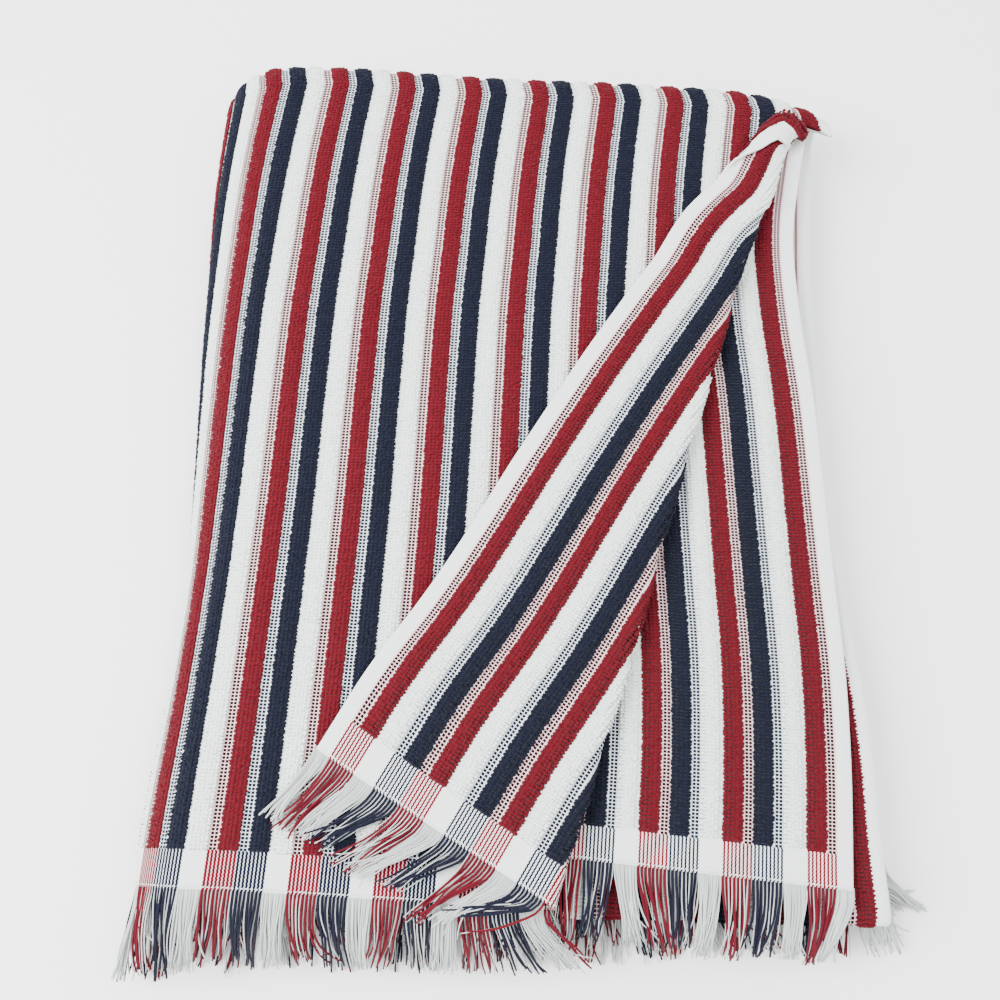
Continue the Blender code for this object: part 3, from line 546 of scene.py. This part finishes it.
def turned_fields(kind):
    """Where the second face shows its loops: the turned-back corner, and the second panel beside it."""
    u, v, pitch = loop_field(kind, True, HEADER + ROW / 2, V_OUTER, LOOPS_FROM)
    turned = (past_crease(u, v) > ROLL_SHOWS * CREASE_ARC) & (WIDTH - u > LIP_CLEAR * lip_width(v))
    under_u, under_v, _ = loop_field(kind, True, V_SECOND, LENGTH - UNDER_HEADER, LOOPS_FROM)
    x, y, _ = fold(under_u, under_v).T - PLACE[:, None]
    shown = x > crease_x(y) - UNDER_CORNER
    return [(True, u[turned], v[turned], pitch), (True, under_u[shown], under_v[shown], pitch)]


def make_loops(name, fields, seed, settings):
    """The loops of one colour on the given fields: (face_b, u, v, pitch)."""
    random = np.random.default_rng(seed)
    blocks, tones = [], []
    for face_b, u, v, pitch in fields:
        count = len(u)
        edge = np.clip(across_pile(u, face_b), -1, 1)
        u = u + random.normal(0, LOOP_STRAY[0], count) * COLUMN
        v = v + random.normal(0, LOOP_STRAY[1], count) * ROW
        place, plus_u, along, normal = frames(u, v)
        across = plus_u
        if face_b:
            normal, across = -normal, -across
        yaw = np.radians(random.normal(*LOOP_YAW, count))[:, None]
        side = across * np.cos(yaw) + along * np.sin(yaw)
        run = np.cross(normal, side)
        wide = pitch * settings.loop_width * random.uniform(*LOOP_WIDE, count)[:, None]
        deep = ROW * settings.loop_depth * random.uniform(*LOOP_DEEP, count)[:, None]
        high = settings.loop_height * (1 - EDGE_DROP * edge**4) * random.uniform(*LOOP_HIGH, count)
        base = GROUND_HALF + (PILE_HALF - GROUND_HALF) * np.sqrt(1 - np.abs(EDGE_FOOT * edge) ** 3)
        foot = place + normal * (base - LOOP_SINK)[:, None]
        lean = run * random.normal(*LOOP_LEAN, count)[:, None]
        lean = lean + side * random.normal(*LOOP_TILT, count)[:, None]
        lean = lean + plus_u * (EDGE_LEAN * edge * np.abs(edge))[:, None]
        crest = (normal + lean) * (high + LOOP_SINK)[:, None]
        points = [foot + side * wide * a + run * deep * b + crest * c for a, b, c in LOOP_POINTS]
        block = np.stack(points, axis=1)
        block[:, :, 2] = np.maximum(block[:, :, 2], 0.0)
        blocks.append(block)
        tones.append(random.uniform(0, 1, count))
    return joined(name, np.concatenate(blocks), LOOP_FACES, {"tone": np.concatenate(tones)})


# ---- Fringe ----

YARN_LENGTH = {"fringe_front": 0.0440, "fringe_under": 0.0425}
YARN_STEPS, YARN_SIDES = 10, 4
YARN_RADIUS = 0.00053
YARN_ROOT = 0.0015  # how far inside the header a yarn starts
# The warp ends of one column, in a white band and in a dyed one: place in it, and 1 where dyed
WHITE_ENDS = ((0.1, 0.0), (0.4, 0.0), (0.7, 0.0), (0.95, 0.0))
DYED_ENDS = ((0.27, 1.0), (0.75, 0.0))
DYED_YARN, WHITE_AMONG_DYED = 1.55, 0.72  # radius of the yarns in a dyed band, of the radius above
HIDDEN_END, SHORTER = 0.045, 0.70  # the lowest layer's yarns, up to this u, are shorter
TUFT = 1.5  # how much thicker the yarns of the two selvedges are
YARN_TAPER = 1 - 0.35 * np.linspace(0, 1, YARN_STEPS + 1) ** 4  # share of the radius from root to tip
# How the yarns vary, by whole bands and one by one: spreads of their lean and of the tips' splay, in degrees
BAND_LEAN, YARN_LEAN = 3.5, 1.5
BAND_SPLAY, YARN_SPLAY = 9, 6
BAND_GATHER = (0.25, 0.75)  # how far a band's yarns draw together
BAND_LONG, YARN_LONG = (0.93, 1.05), (0.90, 1.05)  # shares of the length
YARN_THICK = (0.85, 1.15)  # shares of the radius
YARN_LIFT = (-0.0006, 0.0012)  # how far they lie above or below their line
WAVE, WAVE_TURN = math.radians(9), 6.0  # how far and how often the yarns wave
STRAYS, STRAY_SPLAY = 0.05, 3.5  # share that strays over the others, and how much more
TURNED_DROP = 0.0012  # how far the corner's yarns sink at once
FACE_UP = -0.2  # height of the normal from which a face counts as up
# Where the yarns hang down over the layers below: from this y on, over this length, fully from this far in
# from the left fold, and at this angle at most
HANG_FROM_Y, HANG_OVER, HANG_FROM_FOLD = FRONT_EDGE - 0.002, 0.024, 0.060
STEEPEST = math.radians(50)
# u, and degrees that the yarns lean there from the warp's line towards the right selvedge
LEAN_FRONT = [
    (0.0, -48), (0.03, -30), (0.1, -6), (0.3, 0), (0.335, 8), (0.36, 5), (0.4, -3), (0.5, 2), (0.56, 4),
    (0.6, 42), (0.625, 44), (0.66, 32), (0.71, 25), (0.752, 22)]
LEAN_UNDER = [
    (0.0, -6), (0.1, 2), (0.3, 0), (0.42, 2), (0.6, -2), (0.7, 1), (0.735, 10), (0.744, 24), (0.752, 34)]


def bands():
    """First and last column of each band of fringe: one for each section of the weave."""
    edges = [0, SELVEDGE, FIRST]
    for _ in range(REPEATS):
        edges += [edges[-1] + SECTION, edges[-1] + 2 * SECTION, edges[-1] + REPEAT]
    edges += [edges[-1] + SECTION, COLUMNS]
    return list(zip(edges, edges[1:]))


def yarn_roots():
    """For every yarn: its u, whether it is dyed, its place across its band from -1 to 1, and the band."""
    u, dyed, across, band = [], [], [], []
    for number, (low, high) in enumerate(bands()):
        kind, _ = section_of(np.array([(low + high) / 2]))
        for column in range(low, high):
            for part, colour in WHITE_ENDS if kind[0] == WHITE else DYED_ENDS:
                u.append((column + part) * COLUMN)
                dyed.append(colour)
                across.append(2 * (column + part - low) / (high - low) - 1)
                band.append(number)
    return np.array(u), np.array(dyed), np.array(across), np.array(band)


def make_yarns(name, end, lean_table, seed):
    """All the yarns of one end's fringe, drawn out of the header in bands."""
    random = np.random.default_rng(seed)
    front = end == 0
    sign = -1 if front else 1
    u, dyed, within, band = yarn_roots()
    count, number = len(u), len(bands())
    root, _, along, normal = frames(u, np.full(count, end - sign * YARN_ROOT))
    out = sign * along
    past = past_crease(u, np.zeros(count)) if front else np.full(count, -1.0)
    turned = past > CREASE_ARC
    keep = (past < 0.0) | turned
    band_lean = random.normal(0, BAND_LEAN, number)[band]
    band_gather = random.uniform(*BAND_GATHER, number)[band]
    face = np.where(normal[:, 2] > FACE_UP, 1.0, -1.0)
    lean = face * np.radians(smooth_table(lean_table)(u) + band_lean + random.normal(0, YARN_LEAN, count))
    length = YARN_LENGTH[name] * random.uniform(*BAND_LONG, number)[band] * random.uniform(*YARN_LONG, count)
    if front:
        length = np.where(u < HIDDEN_END, SHORTER * length, length)
    half_band = np.array([(high - low) * COLUMN / 2 for low, high in bands()])[band]
    gather = np.arctan(band_gather * within * half_band * 2 / YARN_LENGTH[name]) * face * sign
    wave = random.uniform(0, 2 * math.pi, count)
    inside = np.clip((root[:, 0] - PLACE[0] - left_edge(root[:, 1] - PLACE[1])) / HANG_FROM_FOLD, 0, 1)
    inside = np.where(root[:, 2] > MIDDLE, inside, 0.0)
    lift = random.uniform(*YARN_LIFT, count)
    splay = np.radians(random.normal(0, YARN_SPLAY, count) + random.normal(0, BAND_SPLAY, number)[band])
    splay = np.where(random.uniform(0, 1, count) < STRAYS, splay * STRAY_SPLAY, splay)
    heading = np.arctan2(out[:, 1], out[:, 0])
    point, centres, ways = root.copy(), [], []
    steps = YARN_STEPS * 2
    for k in range(steps + 1):
        t = k / steps
        turn = lean * half_bell(t / 0.3) + gather * half_bell(t / 0.3) * (1 - 1.3 * t) + splay * t * t
        turn = turn + WAVE * np.sin(wave + WAVE_TURN * t) * t
        angle = heading + turn
        beyond = np.maximum(0.0, HANG_FROM_Y + PLACE[1] - point[:, 1]) / HANG_OVER
        fall = np.tan(STEEPEST * inside * np.minimum(1.0, beyond) ** 0.8)
        down = np.arctan(fall * np.abs(np.sin(angle)))
        way = np.stack([np.cos(angle) * np.cos(down), np.sin(angle) * np.cos(down), -np.sin(down)], axis=1)
        centres.append(point + np.array([0, 0, 1.0]) * (lift * half_bell(t / 0.2))[:, None])
        ways.append(way)
        point = point + way * (length / steps)[:, None]
    centres, ways = np.stack(centres[::2], axis=1), np.stack(ways[::2], axis=1)
    sink = TURNED_DROP * half_bell(np.linspace(0, 1, YARN_STEPS + 1) / 0.3)
    centres[:, :, 2] -= sink[None, :] * turned[:, None]
    centres[:, :, 2] = np.maximum(centres[:, :, 2], YARN_RADIUS)
    kind, _ = section_of(u / COLUMN)
    thick = YARN_RADIUS * np.select([dyed > 0, kind != WHITE], [DYED_YARN, WHITE_AMONG_DYED], 1.0)
    thick = np.where((band == 0) | (band == number - 1), TUFT * thick, thick)
    radius = (thick * random.uniform(*YARN_THICK, count))[:, None] * YARN_TAPER[None, :]
    side = np.cross(ways, np.array([0, 0, 1.0]))
    side /= np.linalg.norm(side, axis=2, keepdims=True)
    up = np.cross(side, ways)
    rings = []
    for k in range(YARN_SIDES):
        angle = 2 * math.pi * (k + 0.5) / YARN_SIDES
        rings.append(centres + (side * math.cos(angle) + up * math.sin(angle)) * radius[:, :, None])
    corners = np.stack(rings, axis=2).reshape(count, -1, 3)[keep]
    faces = []
    for s in range(YARN_STEPS):
        for k in range(YARN_SIDES):
            a, b = s * YARN_SIDES + k, s * YARN_SIDES + (k + 1) % YARN_SIDES
            faces.append((a, b, b + YARN_SIDES, a + YARN_SIDES))
    faces.append(tuple(range(YARN_SIDES))[::-1])
    faces.append(tuple(YARN_STEPS * YARN_SIDES + k for k in range(YARN_SIDES)))
    tone = random.uniform(0, 1, count)
    values = {"dyed": dyed[keep], "navy": (kind == NAVY)[keep] * 1.0, "tone": tone[keep]}
    return joined(f"{name}_yarns", corners, faces, values)


# ---- Materials ----

BLACK = (0.0, 0.0, 0.0)
# The tint of nets and headers between their dyed ends, in a red section and in a navy one
RED_TINT, NAVY_TINT = (0.84, 0.53, 0.56), (0.66, 0.72, 0.78)
NET_TINT, HEADER_TINT, HEADER_TINT_B = 0.80, 0.95, 0.35  # its shares, and how much less on face B
DARK_RED, RED_LEAST, DARK_NAVY = 0.12, 0.0015, 0.9  # a dot's colour, of the pile's
LINE_HALF, LINE_HALF_B = 0.36, 0.10  # half a header line's width in columns, and its loss on face B
ZIGZAG = 0.38  # how far it swings from row to row, in columns
STITCH_AT, STITCH_HALF = 0.0012, 0.00028  # the white thread along a header
STITCHES, STITCH_SHARE = 0.8, 0.62  # its stitches to a column, and the share of one that shows
PILE_SHADES = {"red": 0.68, "navy": 0.6, "white": 0.86}  # darkest loops, of the yarn's colour
WHITE_YARN_SHADE, DYED_YARN_SHADE = (0.28, 0.30, 0.30), (0.012, 0.010, 0.018)
FLOOR_GREYS = (0.97, 0.985)
MIX_FIRST, MIX_SECOND, MIX_RESULT = 6, 7, 2  # the Mix node's colour sockets


def operator(operation, flipped=False, clamp=False):
    """A method of Socket that adds one Math node, with the socket as its last value if flipped."""
    def method(self, *others):
        values = (*others, self) if flipped else (self, *others)
        node = self.shader.node("ShaderNodeMath", {"operation": operation, "use_clamp": clamp}, *values)
        return Socket(self.shader, node.outputs[0])
    return method


class Socket:
    """A number's socket in shader maths: an expression on sockets adds its Math nodes."""

    def __init__(self, shader, socket):
        self.shader, self.socket = shader, socket

    __add__, __mul__, __truediv__ = operator("ADD"), operator("MULTIPLY"), operator("DIVIDE")
    __sub__, __rsub__ = operator("SUBTRACT"), operator("SUBTRACT", flipped=True)
    __mod__, __abs__ = operator("FLOORED_MODULO"), operator("ABSOLUTE")
    __gt__, __lt__ = operator("GREATER_THAN"), operator("LESS_THAN")
    least, clamped_sum = operator("MINIMUM"), operator("ADD", clamp=True)


class Shader:
    """A material's nodes."""

    def __init__(self, name):
        self.material = bpy.data.materials.new(name)
        self.material.use_nodes = True
        self.tree = self.material.node_tree
        self.principled = self.tree.nodes["Principled BSDF"]

    def node(self, kind, settings=None, *values, **named):
        """A node of a kind, with its settings first and then its sockets' values or links."""
        made = self.tree.nodes.new(kind)
        for key, value in (settings or {}).items():
            setattr(made, key, value)
        for key, value in [*enumerate(values), *named.items()]:
            self.give(made.inputs[key], value)
        return made

    def give(self, socket, value):
        """Link a socket to another one, or set its value."""
        if isinstance(value, Socket):
            value = value.socket
        if isinstance(value, bpy.types.NodeSocket):
            self.tree.links.new(value, socket)
        else:
            socket.default_value = value

    def attribute(self, name):
        """A mesh's attribute as a number."""
        return Socket(self, self.node("ShaderNodeAttribute", {"attribute_name": name}).outputs["Fac"])

    def mix(self, share, first, second):
        """A colour between two colours."""
        made = self.node("ShaderNodeMix", {"data_type": "RGBA"}, Factor=share)
        for key, value in ((MIX_FIRST, first), (MIX_SECOND, second)):
            linked = isinstance(value, bpy.types.NodeSocket)
            self.give(made.inputs[key], value if linked else (*value, 1))
        return made.outputs[MIX_RESULT]

    def noise(self, where, scale, detail=2.0, roughness=0.5):
        """Noise between 0 and 1."""
        values = {"Vector": where, "Scale": scale, "Detail": detail, "Roughness": roughness}
        return Socket(self, self.node("ShaderNodeTexNoise", None, **values).outputs["Fac"])

    def finish(self, colour, roughness, bump=None, distance=0.0, sheen=0.05):
        """The material, with its surface's colour and roughness, and bumps of this height at most."""
        self.give(self.principled.inputs["Base Color"], colour)
        self.give(self.principled.inputs["Roughness"], roughness)
        self.principled.inputs["Sheen Weight"].default_value = sheen
        self.principled.inputs["Sheen Roughness"].default_value = 0.5
        self.principled.inputs["Specular IOR Level"].default_value = 0.1
        if bump is not None:
            made = self.node("ShaderNodeBump", None, Strength=1.0, Distance=distance, Height=bump)
            self.give(self.principled.inputs["Normal"], made.outputs[0])
        return self.material


def cloth_material(yarns):
    """The woven cloth: the ground of the pile, nets with their dots, and headers with their lines."""
    s = Shader("woven_terry")
    uv = s.node("ShaderNodeUVMap", {"uv_map": "weave"}).outputs[0]
    parts = s.node("ShaderNodeSeparateXYZ", None, Vector=uv)
    u, v = Socket(s, parts.outputs[0]), Socket(s, parts.outputs[1])
    face_b = s.attribute("face_b") > 0.5
    column, row = u / COLUMN, v / ROW
    from_row = abs(row % 1.0 - 0.5)
    at = (column - FIRST) % REPEAT
    is_navy = (at > SECTION) * (at < 2 * SECTION)
    is_white = at > 2 * SECTION
    woven = (column > FIRST) * (column < COLUMNS - SELVEDGE)
    inside = at - (is_navy * SECTION) - (is_white * (2 * SECTION))
    mirrored = (is_white * (WHITE_SECTION - SECTION) + SECTION) - inside
    inside = inside * (1 - face_b) + mirrored * face_b
    flat_wide = is_white * (WHITE_FLAT - NET) + NET
    end = v.least(LENGTH - v)
    header = (v < HEADER).clamped_sum(v > LENGTH - UNDER_HEADER)
    dyed = woven * (1 - is_white)
    net = (inside < flat_wide) * (1 - header)
    # dots of the net, one to a row in each of its dotted columns
    dotted = (inside > DOTS_FROM) * (inside < DOTS_FROM + DOT_COLUMNS)
    dot = dotted * (abs((inside - DOTS_FROM) % 1.0 - 0.5) < DOT_HALF[0]) * (from_row < DOT_HALF[1])
    # lines of the header, one to a column, in zigzag, and broader on the upper face
    line = abs((column + (from_row - 0.25) * ZIGZAG) % 1.0 - 0.5) < (LINE_HALF - face_b * LINE_HALF_B)
    stitch = (abs(end - STITCH_AT) < STITCH_HALF) * ((column * STITCHES) % 1.0 < STITCH_SHARE)
    grain = s.noise(uv, 900.0, 3.0, 0.6)
    soft = s.noise(uv, 60.0)
    dye = s.mix(is_navy, yarns.red, yarns.navy)
    dark_red = tuple(c * DARK_RED + RED_LEAST for c in yarns.red)
    dot_dye = s.mix(is_navy, dark_red, tuple(c * DARK_NAVY for c in yarns.navy))
    tint = s.mix(is_navy, RED_TINT, NAVY_TINT)
    white = s.mix(soft * 0.35, yarns.white, tuple(c * 0.93 for c in yarns.white))
    netting = s.mix(dot, s.mix(NET_TINT, white, tint), dot_dye)
    heading = s.mix(line, s.mix(HEADER_TINT - face_b * HEADER_TINT_B, white, tint), dye)
    heading = s.mix(stitch, heading, white)
    body = s.mix(net, dye, netting)
    body = s.mix(header, body, heading)
    colour = s.mix(dyed, white, body)
    colour = s.mix(grain * 0.25, colour, BLACK)
    ends = abs(column * 2.0 % 1.0 - 0.5)
    height = grain * 0.5 + from_row * 0.5 + ends * 0.4
    return s.finish(colour, 0.95, height, 0.0004)


def pile_material(name, base, shade):
    """Loops of one colour of yarn, each a little lighter or darker, worn lighter in patches."""
    s = Shader(name)
    where = s.node("ShaderNodeTexCoord").outputs["Object"]
    tone = s.attribute("tone")
    worn = s.noise(where, 35.0, 2.0, 0.6)
    twist = s.noise(where, 2600.0, 2.0, 0.6)
    colour = s.mix(tone * 0.32 + worn * 0.3, base, tuple(c * shade for c in base))
    return s.finish(colour, 0.95, twist, 0.00025)


def yarn_material(yarns):
    """Loose warp yarns: dyed ones in their stripe's colour, and white ones greyed by painted shade of the
    tufts.
    """
    s = Shader("fringe_yarn")
    where = s.node("ShaderNodeTexCoord").outputs["Object"]
    dye = s.mix(s.attribute("navy"), yarns.red, yarns.navy)
    # the loose white yarns' colour is darker than the cloth's white: painted shade among the tufts
    colour = s.mix(s.attribute("dyed"), yarns.shaded_fringe_white, dye)
    twist = s.noise(where, 1900.0, 2.0, 0.6)
    shade = s.mix(s.attribute("dyed"), WHITE_YARN_SHADE, DYED_YARN_SHADE)
    colour = s.mix(s.attribute("tone") * 0.30 + twist * 0.12, colour, shade)
    return s.finish(colour, 0.9, twist, 0.0002)


def floor_material():
    """A nearly even pale floor."""
    s = Shader("pale_floor")
    where = s.node("ShaderNodeTexCoord").outputs["Object"]
    low, high = FLOOR_GREYS
    colour = s.mix(s.noise(where, 3.0), (low, low, low), (high, high, high))
    return s.finish(colour, 0.7, sheen=0.0)


# ---- Settings and operators ----

# The lamps: name, place, width and power
LAMPS = (("key", (-1.1, -0.2, 1.3), 1.1, 74), ("fill", (1.0, 0.4, 1.4), 1.6, 25))
WORLD_LIGHT = 1.9
FLOOR_DROP = 0.0002  # gap between the towel and the floor
LOOK_HEIGHT = 0.044  # height of the place that the camera looks at
SENSOR = 36  # width of the camera's sensor, in millimetres


def yarn_colour(name, description, default):
    """The property of one yarn's colour."""
    return FloatVectorProperty(name=name, description=description, subtype="COLOR", size=3, min=0, max=1,
                               default=default)


class TowelYarns(bpy.types.PropertyGroup):
    """Colours of the yarns and size of the pile's loops."""
    red: yarn_colour("Red", "Colour of the red yarn", (0.116, 0.0036, 0.0100))
    navy: yarn_colour("Navy", "Colour of the navy yarn", (0.0056, 0.0075, 0.0190))
    white: yarn_colour("White", "Colour of the white yarn", (0.84, 0.90, 0.865))
    # The loose white yarns' colour is darker than the white yarn above: painted shade among the fringe's
    # tufts
    shaded_fringe_white: yarn_colour("Fringe white", "Colour of the loose white yarns", (0.52, 0.56, 0.54))
    loop_height: FloatProperty(name="Loop height", description="How far a loop stands out of the cloth",
                               default=0.0009, min=0.0001, max=0.004, precision=4, unit="LENGTH")
    loop_width: FloatProperty(name="Loop width", description="Width of a loop, in shares of its column",
                              default=1.4, min=0.5, max=2.0)
    loop_depth: FloatProperty(name="Loop depth", description="Depth of a loop, in shares of its row",
                              default=1.3, min=0.5, max=2.0)
    seed: IntProperty(name="Seed", description="Start of the random unevenness", default=4, min=0)


class TowelStage(bpy.types.PropertyGroup):
    """The floor, the lights and the camera."""
    elevation: FloatProperty(name="Elevation", description="Angle of the camera above the floor",
                             unit="ROTATION", default=math.radians(72), min=0.1, max=1.57)
    turn: FloatProperty(name="Turn", description="Angle that the camera is turned round the towel",
                        unit="ROTATION", default=math.radians(1.5))
    distance: FloatProperty(name="Distance", description="From the camera to the top of the towel",
                            unit="LENGTH", default=0.5738, min=0.1)
    lens: FloatProperty(name="Lens", description="Focal length of the camera, in millimetres", unit="CAMERA",
                        default=37.8, min=10)
    floor_size: FloatProperty(name="Floor", description="Width of the floor", unit="LENGTH", default=8.0,
                              min=1)


class TOWEL_OT_sheet(bpy.types.Operator):
    """Weave the cloth and fold it"""
    bl_idname = "towel.sheet"
    bl_label = "Folded Cloth"

    def execute(self, context):
        yarns = context.scene.towel_yarns
        finished(make_sheet(), cloth_material(yarns))
        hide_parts("towel_cloth")
        return {"FINISHED"}


class TOWEL_OT_pile(bpy.types.Operator):
    """Set the loops of the pile stripes on the faces that show"""
    bl_idname = "towel.pile"
    bl_label = "Pile Loops"

    def execute(self, context):
        yarns = context.scene.towel_yarns
        for kind, word in ((RED, "red"), (NAVY, "navy"), (WHITE, "white")):
            material = pile_material(f"{word}_pile", getattr(yarns, word), PILE_SHADES[word])
            for part, fields, seed in (("panel", panel_fields(kind), 0), ("turned", turned_fields(kind), 7)):
                piece = make_loops(f"{word}_pile_{part}", fields, yarns.seed + seed + kind, yarns)
                finished(piece, material)
        return {"FINISHED"}


class TOWEL_OT_fringes(bpy.types.Operator):
    """Draw the loose warp yarns out of both headers"""
    bl_idname = "towel.fringes"
    bl_label = "Fringes"

    def execute(self, context):
        yarns = context.scene.towel_yarns
        material = yarn_material(yarns)
        for name, end, table in (("fringe_front", 0.0, LEAN_FRONT), ("fringe_under", LENGTH, LEAN_UNDER)):
            piece = make_yarns(name, end, table, yarns.seed + 20)
            finished(piece, material)
            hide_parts(name)
        return {"FINISHED"}


class TOWEL_OT_stage(bpy.types.Operator):
    """Set the floor, the lights and the camera"""
    bl_idname = "towel.stage"
    bl_label = "Stage"

    def execute(self, context):
        stage = context.scene.towel_stage
        bm = bmesh.new()
        bmesh.ops.create_grid(bm, x_segments=2, y_segments=2, size=stage.floor_size / 2)
        mesh = bpy.data.meshes.new("floor")
        bm.to_mesh(mesh)
        bm.free()
        floor = bpy.data.objects.new("floor", mesh)
        mesh.materials.append(floor_material())
        context.scene.collection.objects.link(floor)
        floor.location.z = -FLOOR_DROP
        for name, place, size, power in LAMPS:
            light = bpy.data.lights.new(name, "AREA")
            light.size = size
            light.energy = power
            lamp = bpy.data.objects.new(name, light)
            lamp.location = place
            lamp.rotation_euler = (-Vector(place)).to_track_quat("-Z", "Y").to_euler()
            context.scene.collection.objects.link(lamp)
        world = bpy.data.worlds.new("studio")
        world.use_nodes = True
        background = world.node_tree.nodes["Background"]
        background.inputs["Color"].default_value = (1, 1, 1, 1)
        background.inputs["Strength"].default_value = WORLD_LIGHT
        context.scene.world = world
        target = Vector((PLACE[0], PLACE[1], LOOK_HEIGHT))
        level = Vector((-math.sin(stage.turn), math.cos(stage.turn), 0))
        look = level * math.cos(stage.elevation) - Vector((0, 0, math.sin(stage.elevation)))
        right = Vector((math.cos(stage.turn), math.sin(stage.turn), 0))
        up = right.cross(look)
        camera = bpy.data.cameras.new("camera")
        camera.lens = stage.lens
        camera.sensor_width = SENSOR
        view = bpy.data.objects.new("camera", camera)
        turned = Matrix((right, up, -look)).transposed().to_4x4()
        view.matrix_world = Matrix.Translation(target - look * stage.distance) @ turned
        context.scene.collection.objects.link(view)
        context.scene.camera = view
        return {"FINISHED"}


class TOWEL_PT_panel(bpy.types.Panel):
    """The towel's settings and steps"""
    bl_label = "Beach Towel"
    bl_idname = "TOWEL_PT_panel"
    bl_space_type = "VIEW_3D"
    bl_region_type = "UI"
    bl_category = "Towel"

    def draw(self, context):
        for group in (context.scene.towel_yarns, context.scene.towel_stage):
            box = self.layout.box()
            for name in group.bl_rna.properties.keys():
                if name not in {"rna_type", "name"}:
                    box.prop(group, name)
        for step in STEPS:
            self.layout.operator(step.bl_idname)


GROUPS = (TowelYarns, TowelStage)
STEPS = (TOWEL_OT_sheet, TOWEL_OT_pile, TOWEL_OT_fringes, TOWEL_OT_stage)


def register():
    for cls in (*GROUPS, *STEPS, TOWEL_PT_panel):
        bpy.utils.register_class(cls)
    bpy.types.Scene.towel_yarns = PointerProperty(type=TowelYarns)
    bpy.types.Scene.towel_stage = PointerProperty(type=TowelStage)


def unregister():
    del bpy.types.Scene.towel_yarns
    del bpy.types.Scene.towel_stage
    for cls in reversed((*GROUPS, *STEPS, TOWEL_PT_panel)):
        bpy.utils.unregister_class(cls)


def main():
    register()
    bpy.ops.towel.sheet()
    bpy.ops.towel.pile()
    bpy.ops.towel.fringes()
    bpy.ops.towel.stage()


if __name__ == "__main__":
    main()
